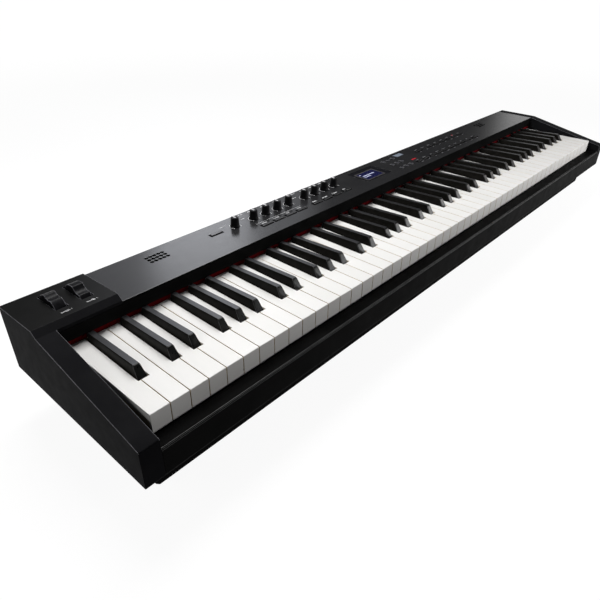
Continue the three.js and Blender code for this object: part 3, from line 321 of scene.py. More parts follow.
TRAY = plastic("tray_paint", grey(0.002), grey(0.004), (0.5, 0.6), 0.7 * MM, 0.03 * MM, specular=0.007)
# Powder paint on the back's sheet.
REAR_PAINT = plastic(
    "rear_paint", (0.016, 0.016, 0.017), (0.024, 0.024, 0.025),
    (0.42, 0.5), 0.7 * MM, 0.03 * MM, specular=0.3,
)
RUBBER = plastic("foot_rubber", grey(0.010), grey(0.017), (0.75, 0.85), 0.6 * MM, 0.04 * MM)
KNOB = plastic(
    "knob_plastic", (0.005, 0.005, 0.006), (0.008, 0.008, 0.009),
    (0.33, 0.42), 0.25 * MM, 0.01 * MM, blotch=6 * MM, specular=0.08,
)
BUTTON = plastic(
    "button_plastic", (0.030, 0.030, 0.036), (0.040, 0.040, 0.047),
    (0.35, 0.42), 0.25 * MM, 0.008 * MM, blotch=6 * MM,
)
EBONY = ebony()
# The black keys' flanks, which mirror little.
EBONY_SIDE = plastic(
    "ebony_side", (0.006, 0.006, 0.005), (0.010, 0.009, 0.008),
    (0.28, 0.32), 0.5 * MM, 0.0001 * MM, blotch=9 * MM, specular=0.045,
)
# The black keys' eased edges, in a brighter colour and gloss: a painted highlight.
EBONY_EDGE_HIGHLIGHT = plastic(
    "ebony_edge_highlight", (0.085, 0.085, 0.088), (0.115, 0.115, 0.120),
    (0.24, 0.28), 0.5 * MM, 0.0002 * MM, blotch=5 * MM, specular=0.9,
)
# The black keys' sloping fronts.
EBONY_FRONT = plastic(
    "ebony_front", grey(0.005), grey(0.008),
    (0.27, 0.30), 0.5 * MM, 0.0001 * MM, blotch=9 * MM, specular=0.2,
)
IVORY = ivory()
WOOD = wood()
FELT = felt()
STEEL = steel()
ZINC = plastic(
    "zinc_plate", (0.42, 0.42, 0.44), (0.58, 0.58, 0.60),
    (0.25, 0.36), 0.3 * MM, 0.01 * MM, blotch=4 * MM, metallic=1.0,
)
BLACKED = plastic(
    "blacked_steel", (0.05, 0.05, 0.055), (0.09, 0.09, 0.095),
    (0.3, 0.4), 0.3 * MM, 0.01 * MM, blotch=4 * MM, metallic=1.0,
)
BOARD = plastic(
    "board_lacquer", (0.008, 0.050, 0.020), (0.014, 0.085, 0.034),
    (0.3, 0.42), 0.8 * MM, 0.02 * MM, blotch=9 * MM,
)
WINDOW = plastic(
    "window_gloss", (0.004, 0.004, 0.006), (0.006, 0.006, 0.008),
    (0.12, 0.18), 6 * MM, 0.004 * MM, blotch=30 * MM,
)
BEZEL = plastic(
    "bezel_print", (0.030, 0.028, 0.026), (0.038, 0.036, 0.033),
    (0.4, 0.5), 0.3 * MM, 0.004 * MM, blotch=10 * MM, specular=0.3,
)
SCREEN = glowing("screen_blue", (0.004, 0.005, 0.034), 0.35)
SCREEN_TEXT = glowing("screen_text", (0.55, 0.58, 0.75), 0.6)
RED_LIGHT = glowing("red_light", (0.45, 0.012, 0.02), 0.35)
WHITE_INK = ink("white_ink", (0.62, 0.62, 0.63), (0.74, 0.74, 0.75))
GREY_INK = ink("grey_ink", (0.17, 0.17, 0.18), (0.22, 0.22, 0.23))
BLUE_INK = ink("pale_blue_ink", (0.13, 0.15, 0.19), (0.17, 0.20, 0.24))


# Pieces
def piece(name, mesh, finishes, body, slot, *nodes):
    """A finished piece that rides on a body and stands for its nodes. The slot argument is not used."""
    made = bpy.data.objects.new(name, mesh)
    bpy.context.scene.collection.objects.link(made)
    for finish in finishes:
        mesh.materials.append(finish)
    for polygon in mesh.polygons:
        polygon.use_smooth = True
    normals = made.modifiers.new("normals", "WEIGHTED_NORMAL")
    normals.weight = FACE_WEIGHT
    normals.keep_sharp = True
    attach(made, body)
    if nodes:
        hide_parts(*nodes)
    return made


def mesh_of(bm, name):
    mesh = bpy.data.meshes.new(name)
    bm.to_mesh(mesh)
    bm.free()
    return mesh


def welded(node):
    """A node's faces, with its corners welded and its flat faces whole."""
    data = frame["nodes"][node].data
    bm = bmesh.new()
    corners = [bm.verts.new(vertex.co) for vertex in data.vertices]
    for polygon in data.polygons:
        bm.faces.new([corners[index] for index in polygon.vertices])
    bmesh.ops.remove_doubles(bm, verts=bm.verts, dist=WELD)
    bmesh.ops.dissolve_limit(bm, angle_limit=FLAT, verts=bm.verts, edges=bm.edges)
    return bm


def ease_edges(bm, width, segments, chosen=None, least=SHARP, finish=-1):
    """Rounds the sharp edges that are chosen and marks the others as sharp."""
    bm.normal_update()
    sharp = [edge for edge in bm.edges if len(edge.link_faces) == 2 and edge.calc_face_angle(0) > least]
    eased = []
    for edge in sharp:
        middle = (edge.verts[0].co + edge.verts[1].co) / 2
        if chosen is None or chosen(middle):
            eased.append(edge)
        else:
            edge.smooth = False
    if eased:
        bmesh.ops.bevel(
            bm, geom=eased, offset=width, offset_type="OFFSET", segments=segments,
            profile=0.5, affect="EDGES", clamp_overlap=False, material=finish,
        )


def softened(node, body, slot, finishes, width, segments=2, choose=None, level=None, **easing):
    """The node's own shape with eased edges, and a finish for each face."""
    bm = welded(node)
    if level is not None:
        whole = [*bm.verts, *bm.edges, *bm.faces]
        bmesh.ops.bisect_plane(bm, geom=whole, plane_co=(0, 0, level), plane_no=(0, 0, 1))
    if choose:
        bm.normal_update()
        for face in bm.faces:
            face.material_index = choose(face)
    ease_edges(bm, width, segments, **easing)
    return piece(f"{node}_eased", mesh_of(bm, node), finishes, body, slot, node)


def lathe(bm, profile, steps, centre, direction=Vector((0, 0, 1)), flutes=None, index=0):
    """Turns a profile of radius and height about a line through centre."""
    turn = direction.to_track_quat("Z", "Y")
    rings = []
    for radius, height in profile:
        ring = []
        count = 1 if radius == 0 else steps
        for step in range(count):
            angle = 2 * math.pi * step / steps
            reach = radius * (flutes(angle, height) if flutes else 1)
            point = Vector((reach * math.cos(angle), reach * math.sin(angle), height))
            ring.append(bm.verts.new(centre + turn @ point))
        rings.append(ring)
    for lower, upper in zip(rings, rings[1:]):
        for step in range(steps):
            after = (step + 1) % steps
            if len(lower) == 1:
                corners = [lower[0], upper[after], upper[step]]
            elif len(upper) == 1:
                corners = [lower[step], lower[after], upper[0]]
            else:
                corners = [lower[step], lower[after], upper[after], upper[step]]
            bm.faces.new(corners).material_index = index
    bmesh.ops.recalc_face_normals(bm, faces=bm.faces)


def block(bm, low, high, index=0):
    """A box between two corners."""
    made = bmesh.ops.create_cube(bm, size=1)["verts"]
    for vertex in made:
        share = vertex.co + Vector((0.5, 0.5, 0.5))
        vertex.co = Vector([low[axis] + (high[axis] - low[axis]) * share[axis] for axis in range(3)])
    for face in {face for vertex in made for face in vertex.link_faces}:
        face.material_index = index
    return made


def circle(x, y, radius, steps=24):
    return [
        (x + radius * math.cos(2 * math.pi * step / steps), y + radius * math.sin(2 * math.pi * step / steps))
        for step in range(steps)
    ]


def rounded_box(x, y, width, depth, radius, steps=4):
    """A rectangle with round corners, as points in order."""
    points = []
    for turn, (side, front) in enumerate([(1, 1), (-1, 1), (-1, -1), (1, -1)]):
        for step in range(steps + 1):
            angle = math.pi / 2 * (turn + step / steps)
            points.append((
                x + side * (width / 2 - radius) + radius * math.cos(angle),
                y + front * (depth / 2 - radius) + radius * math.sin(angle),
            ))
    return points


def filled(curve):
    """The mesh that a curve or a text gives; the curve is removed."""
    holder = bpy.data.objects.new(curve.name, curve)
    bpy.context.scene.collection.objects.link(holder)
    bpy.context.view_layer.update()
    evaluated = holder.evaluated_get(bpy.context.evaluated_depsgraph_get())
    mesh = bpy.data.meshes.new_from_object(evaluated)
    bpy.data.objects.remove(holder)
    bpy.data.curves.remove(curve)
    return mesh


def slab(name, outline, holes, thickness, ease, resolution=1):
    """A flat plate about height 0 with holes through it and eased rims, as a mesh."""
    curve = bpy.data.curves.new(name, "CURVE")
    curve.dimensions = "2D"
    curve.fill_mode = "BOTH"
    curve.bevel_depth = ease
    curve.bevel_resolution = resolution
    curve.extrude = thickness / 2 - ease
    curve.offset = -ease
    for loop in [outline] + [hole[::-1] for hole in holes]:
        spline = curve.splines.new("POLY")
        spline.points.add(len(loop) - 1)
        for point, (x, y) in zip(spline.points, loop):
            point.co = (x, y, 0, 1)
        spline.use_cyclic_u = True
    return filled(curve)


def add_mesh(bm, mesh, matrix, index=0):
    """Adds a mesh's faces to another, moved by a matrix, in one finish."""
    first = len(bm.faces)
    mesh.transform(matrix)
    bm.from_mesh(mesh)
    bm.faces.ensure_lookup_table()
    for face in bm.faces[first:]:
        face.material_index = index
    bpy.data.meshes.remove(mesh)


def lifted(height):
    return Matrix.Translation((0, 0, height))


# The case
BLOCK_EASE = 0.5 * MM
LEVEL = math.cos(math.radians(12))
# How far an eased edge must lean sideways and up to keep the painted highlight.
HIGHLIGHT_LEAN = 0.2
RAIL_EASE = 0.35 * MM
RAIL_EDGE_REACH = 10 * MM
RAIL_EDGE_DEPTH = 9 * MM
TRAY_EASE = 0.6 * MM


def end_blocks():
    finishes = [CASE, CASE_EDGE_HIGHLIGHT, DECK]
    flat, edge, deck = range(len(finishes))
    for node in ["left_end_block", "right_end_block"]:
        made = softened(node, CASE_BODY, "case", finishes, BLOCK_EASE, 3, least=BLUNT, finish=edge)
        # The deck's level top takes the deck's finish. Eased edges keep the painted highlight only where they
        # face sideways and up; other faces take the case's own finish.
        for polygon in made.data.polygons:
            if polygon.normal.z > LEVEL and polygon.center.z > deck_rear_top():
                polygon.material_index = deck
            elif abs(polygon.normal.x) < HIGHLIGHT_LEAN or polygon.normal.z < HIGHLIGHT_LEAN:
                polygon.material_index = flat


def front_rail():
    """The rail, whose eased upper front edge carries a painted highlight."""
    low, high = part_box("front_rail")
    middle_height = (low.z + high.z) / 2

    def on_front_edge(middle):
        near = abs(middle.x) < RAIL_EDGE_REACH and middle.y < low.y + RAIL_EDGE_DEPTH
        return near and middle.z > middle_height

    softened(
        "front_rail", CASE_BODY, "rail", [RAIL, RAIL_EDGE_HIGHLIGHT], RAIL_EASE, 3,
        least=BLUNT, chosen=on_front_edge, finish=1,
    )


def tray():
    softened("bottom_chassis", CASE_BODY, "tray", [TRAY], TRAY_EASE, 2)


PLATE_EASE = 0.45 * MM
MOAT = 1.7 * MM
CURSOR_MOAT = 0.8 * MM
HOLE_ROUND = 0.8 * MM
WINDOW_ROUND = 1.5 * MM
PLATE_FLAT = 0.95
FALLBOARD_THICKNESS = 3 * MM
FALLBOARD_EASE = 0.25 * MM
GRILLE_NODES = ["speaker_left", "speaker_right"]
GRILLE_COLUMN_PITCH = 6.1 * MM
GRILLE_ROW_PITCH = 6.7 * MM
GRILLE_RADIUS = 2.5 * MM
SHAFT_RADIUS = 3.5 * MM


def button_hole(x, y, width):
    return rounded_box(x, y, width + 2 * MOAT, BUTTON_DEPTH + 2 * MOAT, HOLE_ROUND)


def grille_holes(node):
    middle = centre_of(node)
    return [
        circle(middle.x + column * GRILLE_COLUMN_PITCH, middle.y + row * GRILLE_ROW_PITCH, GRILLE_RADIUS)
        for row in (-1, 0, 1)
        for column in (-2, -1, 0, 1, 2)
    ]


def top_panel():
    left, right = DECK_RIGHT + SEAM, PANEL_HIGH.x
    outline = [(left, FALLBOARD_FRONT), (right, FALLBOARD_FRONT), (right, REAR), (left, REAR)]
    window = (WINDOW_LOW + WINDOW_HIGH) / 2
    holes = [rounded_box(
        window.x, window.y,
        WINDOW_HIGH.x - WINDOW_LOW.x + 2 * SEAM, WINDOW_HIGH.y - WINDOW_LOW.y + 2 * SEAM, WINDOW_ROUND,
    )]
    for node in GRILLE_NODES:
        holes += grille_holes(node)
    for node in KNOBS:
        middle = centre_of(node)
        holes.append(circle(middle.x, middle.y, SHAFT_RADIUS))
    wide = [centre_of(node).to_2d() for node in ["power_button", *SELECTS]]
    holes += [button_hole(x, y, BUTTON_WIDTH) for x, y in [*wide, *VOICE_PLACES, *FUNCTION_PLACES]]
    oval = (
        CURSOR_WIDTH + 2 * CURSOR_MOAT, BUTTON_DEPTH + 2 * CURSOR_MOAT,
        BUTTON_DEPTH / 2 + CURSOR_MOAT - HAIR,
    )
    holes += [rounded_box(x, y, *oval) for x, y in CURSOR_PLACES]
    thickness = PANEL_TOP - PANEL_UNDER
    plate = slab("panel_plate", outline, holes, thickness, PLATE_EASE, 2)
    plate.transform(lifted(PANEL_UNDER + thickness / 2))
    made = piece("panel_plate", plate, [PANEL, FALLBOARD_AND_GAP_SHADE], CASE_BODY, "panel", "top_panel")
    # Faces that are not level, the plate's rims and the walls of its holes, take the darker, duller finish;
    # in the holes this is painted shade in the gaps.
    for polygon in made.data.polygons:
        polygon.material_index = 1 if abs(polygon.normal.z) < PLATE_FLAT else 0
    bm = bmesh.new()
    rear = FALLBOARD_FRONT + FALLBOARD_THICKNESS
    block(bm, (left, FALLBOARD_FRONT, PANEL_LOW.z), (right, rear, PANEL_UNDER))
    block(bm, (PANEL_LOW.x, FALLBOARD_FRONT, PANEL_LOW.z), (left, rear, PANEL_UNDER - SEAM))
    ease_edges(bm, FALLBOARD_EASE, 2, lambda middle: middle.z < PANEL_LOW.z + SEAM)
    piece("fallboard", mesh_of(bm, "fallboard"), [FALLBOARD_AND_GAP_SHADE], CASE_BODY, "case", "top_panel")


# Rear panel and sockets
REAR_STEP = 0.4 * MM
SOCKET_KINDS = ["inlet", "port", "port", "din", "din"] + ["jack"] * 6
SOCKET_HALF = {"inlet": 6.0 * MM, "din": 9.0 * MM, "jack": 6.5 * MM}
PORT_SIZE = (16.8 * MM, 13.8 * MM)
PORT_ROUND = 0.8 * MM
ROUND_STEPS = 36
SHEET_EASE = 0.2 * MM
SOCKET_BODY = (17, 18)
BOARD_MARGIN = 8
BOARD_THICKNESS = 1.6
BOARD_FACE = 1.7 * MM
BACK_SCREW_INSET = (12 * MM, 8 * MM)
BACK_SCREWS = 9
UNDER_SCREW_INSET = (40 * MM, 26 * MM)
UNDER_SCREWS = 8
UNDER_SCREW_SIZE = (3.4 * MM, 1.6 * MM)
SCREW_SHARES = [(1, 0), (1, 0.5), (0.85, 0.9), (0.5, 1), (0.34, 1), (0.2, 0.2), (0, 0.1)]


def socket_places():
    low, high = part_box("jack_board")
    edge = (SOCKET_BODY[0] / 2 + BOARD_MARGIN) * MM
    first, last = low.x + edge, high.x - edge
    count = len(SOCKET_KINDS)
    middle = low.z + (BOARD_THICKNESS + SOCKET_BODY[1] / 2) * MM
    return [(first + (last - first) * place / (count - 1), middle) for place in range(count)]


def rear_panel():
    """The sheet across the back, pierced for the sockets."""
    holes = []
    for kind, (x, z) in zip(SOCKET_KINDS, socket_places()):
        if kind == "port":
            holes.append(rounded_box(-x, z, *PORT_SIZE, PORT_ROUND))
        else:
            holes.append(circle(-x, z, SOCKET_HALF[kind], ROUND_STEPS))
    outline = [
        (REAR_LOW.x, REAR_LOW.z), (REAR_HIGH.x, REAR_LOW.z),
        (REAR_HIGH.x, REAR_HIGH.z), (REAR_LOW.x, REAR_HIGH.z),
    ]
    thickness = REAR_HIGH.y - REAR_LOW.y - REAR_STEP
    sheet = slab("rear_sheet", outline, holes, thickness, SHEET_EASE)
    upright = Matrix(((-1, 0, 0, 0), (0, 0, 1, REAR_LOW.y + thickness / 2), (0, 1, 0, 0), (0, 0, 0, 1)))
    sheet.transform(upright)
    piece("rear_sheet", sheet, [REAR_PAINT], CASE_BODY, "tray", "rear_panel")


def jack_board():
    low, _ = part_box("jack_board")
    top = low.z + BOARD_FACE
    softened(
        "jack_board", CASE_BODY, "board", [BOARD, KNOB], 0.3 * MM, 2,
        choose=lambda face: 1 if face.calc_center_median().z > top else 0,
    )


def socket_rings():
    """Plated nuts round the jacks, within the back's face."""
    bm = bmesh.new()
    back = REAR_HIGH.y
    for kind, (x, z) in zip(SOCKET_KINDS, socket_places()):
        if kind != "jack":
            continue
        hole = SOCKET_HALF[kind]
        profile = [
            (hole + 0.2 * MM, -1.5 * MM), (hole + 1.6 * MM, -REAR_STEP),
            (hole + 1.5 * MM, -0.1 * MM), (hole + 1.2 * MM, 0),
            (4.4 * MM, 0), (4.1 * MM, -0.2 * MM), (4.1 * MM, -3 * MM), (5.6 * MM, -3 * MM),
        ]
        lathe(bm, profile, ROUND_STEPS, Vector((x, back, z)), Vector((0, 1, 0)))
    piece("socket_nuts", mesh_of(bm, "socket_nuts"), [ZINC], CASE_BODY, "steel")


def screw(bm, centre, direction, radius=2.6 * MM, height=0.38 * MM):
    """A pan head with a dimple."""
    profile = [(radius * across, height * up) for across, up in SCREW_SHARES]
    lathe(bm, profile, 20, centre, direction)


def screws():
    bm = bmesh.new()
    back = REAR_HIGH.y - REAR_STEP
    inset, rise = BACK_SCREW_INSET
    for x in spread(REAR_LOW.x + inset, REAR_HIGH.x - inset, BACK_SCREWS, 0):
        for z in (REAR_LOW.z + rise, REAR_HIGH.z - rise):
            screw(bm, Vector((x, back, z)), Vector((0, 1, 0)))
    inset, depth = UNDER_SCREW_INSET
    for x in spread(TRAY_LOW.x + inset, TRAY_HIGH.x - inset, UNDER_SCREWS, 0):
        for y in (TRAY_LOW.y + depth, TRAY_HIGH.y - depth):
            screw(bm, Vector((x, y, TRAY_LOW.z)), Vector((0, 0, -1)), *UNDER_SCREW_SIZE)
    piece("screws", mesh_of(bm, "screws"), [BLACKED], CASE_BODY, "steel")


def feet():
    for place in range(1, 5):
        node = f"foot_{place}"
        low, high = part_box(node)
        middle = (low + high) / 2
        radius = (high.x - low.x) / 2
        height = high.z - low.z
        profile = [(0, 0.8 * MM), (radius * 0.30, 0.8 * MM), (radius * 0.33, 0)]
        for ring in (0.45, 0.6, 0.75):
            profile += [(radius * ring, 0), (radius * (ring + 0.02), 0.8 * MM)]
            profile += [(radius * (ring + 0.05), 0.8 * MM), (radius * (ring + 0.07), 0)]
        profile += [
            (radius * 0.86, 0), (radius * 0.90, 0.5 * MM), (radius * 0.91, 1.6 * MM),
            (radius, height - 1 * MM), (radius - 0.4 * MM, height), (0, height),
        ]
        bm = bmesh.new()
        lathe(bm, profile, 56, Vector((middle.x, middle.y, low.z)))
        piece(f"foot_{place}_turned", mesh_of(bm, node), [RUBBER], CASE_BODY, "rubber", node)


# Keys
CAP_DEPTH = 9.6 * MM
FACE_THICKNESS = 3.1 * MM
CAP_SKIN = 0.6 * MM
WHITE_EASE = 0.3 * MM
BLACK_CAP_DEPTH = 14.1 * MM
BLACK_CAP_MARGIN = 0.3 * MM
BLACK_EASE = 0.8 * MM
SQUARE_ON = 0.9
TURNED_TO = 0.5
FLANK_EASE_FACING = 0.6
FRONT_EASE_FACING = 0.3
KEYS_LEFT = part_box("low_white_keys")[0].x
KEYS_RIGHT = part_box("high_white_keys")[1].x


def white_keys(node, body):
    """Ivory caps whose flanks show the lever's wood a little below the top."""
    low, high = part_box(node)
    cap_bottom = high.z - CAP_DEPTH
    face_rear = low.y + FACE_THICKNESS
    finishes = [IVORY, WOOD]
    cap, lever = range(len(finishes))

    def finish(face):
        middle = face.calc_center_median()
        if middle.x < KEYS_LEFT + FACE_THICKNESS and face.normal.x < -TURNED_TO:
            return cap
        if middle.z < cap_bottom and middle.y > face_rear:
            return lever
        inner = KEYS_LEFT + CAP_SKIN < middle.x < KEYS_RIGHT - CAP_SKIN
        flank = abs(face.normal.x) > SQUARE_ON and middle.z < high.z - CAP_SKIN
        return lever if inner and flank else cap

    def on_cap(middle):
        return middle.z > high.z - CAP_SKIN / 2 or middle.y < face_rear - CAP_SKIN / 2

    level = high.z - CAP_SKIN
    made = softened(node, body, "ivory", finishes, WHITE_EASE, 2, finish, level, chosen=on_cap)
    for polygon in made.data.polygons:
        inner = KEYS_LEFT + CAP_SKIN < polygon.center.x < KEYS_RIGHT - CAP_SKIN
        if inner and abs(polygon.normal.x) > FLANK_EASE_FACING:
            polygon.material_index = lever


def black_keys(node, body):
    """Black caps on wooden stems, with a finish each for top, flanks, eased edges and front; the eased edges
    carry a painted highlight.
    """
    cap_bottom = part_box(node)[1].z - BLACK_CAP_DEPTH
    finishes = [EBONY, WOOD, EBONY_SIDE, EBONY_EDGE_HIGHLIGHT, EBONY_FRONT]
    top, stem, side, edge, front = range(len(finishes))

    def finish(face):
        if face.calc_center_median().z < cap_bottom:
            return stem
        if face.normal.y < -TURNED_TO:
            return front
        return top if face.normal.z > SQUARE_ON else side

    def on_cap(middle):
        return middle.z > cap_bottom + BLACK_CAP_MARGIN

    made = softened(node, body, "ebony", finishes, BLACK_EASE, 3, finish, chosen=on_cap, finish=edge)
    # Eased faces that look forward take the front's finish; the other eased faces keep the painted highlight.
    for polygon in made.data.polygons:
        if polygon.material_index == edge and polygon.normal.y < -FRONT_EASE_FACING:
            polygon.material_index = front


def keys():
    for node in ["low_white_keys", "high_white_keys"]:
        white_keys(node, node)
    for node in ["low_black_keys", "high_black_keys"]:
        black_keys(node, node)
    for letter in MIDDLE_LETTERS:
        white_keys(f"key_{letter}4", f"key_{letter}4")
    for letters in MIDDLE_SHARPS:
        black_keys(f"key_{letters}4", f"key_{letters}4")


def felt_strip():
    softened("name_felt", CASE_BODY, "felt", [FELT], 0.5 * MM, 3)


# Controls
KNOB_STEPS = 72
FLUTES = 24
FLUTE_DEPTH_SHARE = 0.02


def fluted(angle, height):
    if not 4.5 * MM < height < 13 * MM:
        return 1
    return 1 - FLUTE_DEPTH_SHARE * (0.5 + 0.5 * math.cos(FLUTES * angle))


def knob(node):
    low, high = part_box(node)
    middle = (low + high) / 2
    top = high.z - PANEL_TOP
    profile = [
        (0, 0), (3.0 * MM, 0), (3.0 * MM, 0.5 * MM), (7.0 * MM, 0.5 * MM), (7.2 * MM, 0.8 * MM),
        (7.1 * MM, 1.4 * MM), (6.8 * MM, 1.9 * MM), (6.45 * MM, 2.5 * MM), (6.25 * MM, 3.3 * MM),
        (6.2 * MM, 4.2 * MM), (6.15 * MM, 5.4 * MM), (6.0 * MM, 9 * MM), (5.8 * MM, top - 1.1 * MM),
        (5.65 * MM, top - 0.45 * MM), (5.25 * MM, top - 0.1 * MM), (4.9 * MM, top),
        (4.6 * MM, top - 0.3 * MM), (0, top - 0.35 * MM),
    ]
    bm = bmesh.new()
    lathe(bm, profile, KNOB_STEPS, Vector((middle.x, middle.y, PANEL_TOP)), flutes=fluted)
    piece(f"{node}_turned", mesh_of(bm, node), [KNOB], node, "knob", node)
    pointer = bmesh.new()
    half = 0.8 * MM
    block(pointer, (-half, -1.5 * MM, top - 0.5 * MM), (half, 4.8 * MM, top - 0.05 * MM))
    block(pointer, (-half, 5.5 * MM, top - 5.5 * MM), (half, 6.0 * MM, top - 1.2 * MM))
    mark = mesh_of(pointer, f"{node}_pointer")
    mark.transform(Matrix.Translation((middle.x, middle.y, PANEL_TOP)))
    piece(f"{node}_pointer", mark, [WHITE_INK], node, "knob", node)


BUTTON_EASE = 0.3 * MM
CURSOR_EASE = 0.5 * MM
OVAL_STEPS = 8


def wide_buttons():
    """Caps in the panel's own paint, with darker, duller flanks as painted shade in the gaps round them."""
    for node in ["power_button", *SELECTS, "voice_buttons", "function_buttons"]:
        softened(
            node, node, "knob", [PANEL, FALLBOARD_AND_GAP_SHADE], BUTTON_EASE, 2,
            lambda face: 0 if face.normal.z > TURNED_TO else 1,
        )


def cursor_buttons():
    """Small oval caps in three rows."""
    bm = bmesh.new()
    height = CURSOR_HIGH.z - PANEL_UNDER
    oval = CURSOR_WIDTH, BUTTON_DEPTH, BUTTON_DEPTH / 2 - HAIR, OVAL_STEPS
    for x, y in CURSOR_PLACES:
        cap = slab("cap", rounded_box(x, y, *oval), [], height, CURSOR_EASE, 2)
        add_mesh(bm, cap, lifted(PANEL_UNDER + height / 2))
    piece("cursor_caps", mesh_of(bm, "cursor_caps"), [BUTTON], "cursor_buttons", "knob", "cursor_buttons")


GLASS_ROUND = 1.2 * MM
GLASS_EASE = 0.25 * MM
SCREEN_INSET = (9 * MM, 6 * MM)
SCREEN_SIZE = (47 * MM, 27.5 * MM)
SCREEN_BORDER = 3.2 * MM
# Words, their place from the screen's corner and their size, in millimetres
SCREEN_TEXTS = [("1", 2.5, 8, 11), ("GRAND PIANO", 8, 14, 4.4), ("BRIGHT", 8, 8.5, 4.0), ("A01", 3, 21.5, 3)]


def display():
    """A gloss window with a printed bezel and a lit screen under it."""
    width, depth = WINDOW_HIGH.x - WINDOW_LOW.x, WINDOW_HIGH.y - WINDOW_LOW.y
    middle = (WINDOW_LOW + WINDOW_HIGH) / 2
    thickness = WINDOW_HIGH.z - WINDOW_LOW.z
    outline = rounded_box(middle.x, middle.y, width, depth, GLASS_ROUND)
    glass = slab("glass", outline, [], thickness, GLASS_EASE)
    glass.transform(lifted(middle.z))
    piece("window_glass", glass, [WINDOW], CASE_BODY, "glass", "display_window")
    inset, rise = SCREEN_INSET
    screen_low = Vector((WINDOW_LOW.x + inset, WINDOW_LOW.y + rise, WINDOW_HIGH.z))
    screen_high = screen_low + Vector((*SCREEN_SIZE, HAIR))
    border = Vector((SCREEN_BORDER, SCREEN_BORDER, 0))
    bm = bmesh.new()
    block(bm, screen_low - border, screen_high + border - Vector((0, 0, HAIR / 2)), 0)
    block(bm, screen_low, screen_high, 1)
    piece("screen", mesh_of(bm, "screen"), [BEZEL, SCREEN], CASE_BODY, "screen")
    texts = bmesh.new()
    for words, x, y, size in SCREEN_TEXTS:
        write(texts, words, screen_low.x + x * MM, screen_low.y + y * MM, size * MM, screen_high.z, "LEFT")
    piece("screen_words", mesh_of(texts, "screen_words"), [SCREEN_TEXT], CASE_BODY, "screen")


WHEEL_STEPS = 120
WHEEL_RADIUS = 22 * MM
WHEEL_THICKNESS = 13.4 * MM
VALLEY_RADIUS = 10 * MM
VALLEY_DEPTH = 3.4 * MM
WHEEL_SOFTNESS = 0.35 * MM
WHEEL_EASE = 0.6 * MM
AXLE_RADIUS = 2.5 * MM
AXLE_HALF = 9.7 * MM
PITCH_LEAN = math.radians(8)
MODULATION_LEAN = math.radians(26)


def wheel_reach(angle):
    """The rim's distance from the axle, with the finger valley at angle 0."""
    away = WHEEL_RADIUS - VALLEY_DEPTH + VALLEY_RADIUS
    inside = VALLEY_RADIUS ** 2 - (away * math.sin(angle)) ** 2
    if inside <= 0 or math.cos(angle) <= 0:
        return WHEEL_RADIUS
    valley = away * math.cos(angle) - math.sqrt(inside)
    if valley > WHEEL_RADIUS + 6 * WHEEL_SOFTNESS:
        return WHEEL_RADIUS
    gap = (valley - WHEEL_RADIUS) / WHEEL_SOFTNESS
    return WHEEL_RADIUS - WHEEL_SOFTNESS * math.log(1 + math.exp(-gap))


def wheel(node, lean):
    axle = joint_place(f"{node}_axle")
    bm = bmesh.new()
    rims = []
    for side in (-1, 1):
        rim = []
        for step in range(WHEEL_STEPS):
            angle = 2 * math.pi * step / WHEEL_STEPS
            reach = wheel_reach(min(angle, 2 * math.pi - angle))
            turned = angle + lean
            across = side * WHEEL_THICKNESS / 2
            offset = Vector((across, -reach * math.sin(turned), reach * math.cos(turned)))
            rim.append(bm.verts.new(axle + offset))
        rims.append(rim)
    for step in range(WHEEL_STEPS):
        after = (step + 1) % WHEEL_STEPS
        bm.faces.new([rims[0][step], rims[0][after], rims[1][after], rims[1][step]])
    bm.faces.new(rims[0])
    bm.faces.new(rims[1])
    bmesh.ops.recalc_face_normals(bm, faces=bm.faces)
    # The eased rims take the second finish, the case's brighter edge colour: a painted highlight.
    ease_edges(bm, WHEEL_EASE, 3, finish=1)
    lathe(
        bm, [(0, -AXLE_HALF), (AXLE_RADIUS, -AXLE_HALF), (AXLE_RADIUS, AXLE_HALF), (0, AXLE_HALF)],
        24, axle, Vector((1, 0, 0)),
    )
    piece(f"{node}_turned", mesh_of(bm, node), [KNOB, CASE_EDGE_HIGHLIGHT], node, "knob", node)


# Print on the panel
LETTER_WEIGHT_SHARE = 0.018


def write(bm, words, x, y, size, height, align="CENTER"):
    """Adds flat letters that stand a hair proud of a level face."""
    text = bpy.data.curves.new("words", "FONT")
    text.body = words
    text.size = size
    text.align_x = align
    text.offset = size * LETTER_WEIGHT_SHARE
    text.extrude = HAIR / 2
    text.resolution_u = 2
    add_mesh(bm, filled(text), Matrix.Translation((x, y, height + HAIR / 2)))


def stroke(bm, x_span, y_span, height, index=0):
    block(bm, (x_span[0], y_span[0], height), (x_span[1], y_span[1], height + HAIR), index)


LETTER = 3.3 * MM
SMALL_LETTER = 2.9 * MM
REAR_LETTER = 3.4 * MM
WORD_RISE = 5 * MM
LOWER_WORD_DROP = 7.6 * MM
CURSOR_WORD_RISE = 4.4 * MM
WHEEL_WORD_DROP = 33 * MM
LINE = 0.3 * MM
RING_REACH = (8.0 * MM, 8.5 * MM)
RING_SWEEP = math.radians(270)
RING_STEPS = 40
TICK_REACH = (8.6 * MM, 10.0 * MM)
TICK_HALF = 0.3 * MM
TICKS = 3


def turned_about(x, y, angle, across, along):
    return Vector((
        x + across * math.cos(angle) - along * math.sin(angle),
        y + across * math.sin(angle) + along * math.cos(angle), PANEL_TOP + HAIR,
    ))


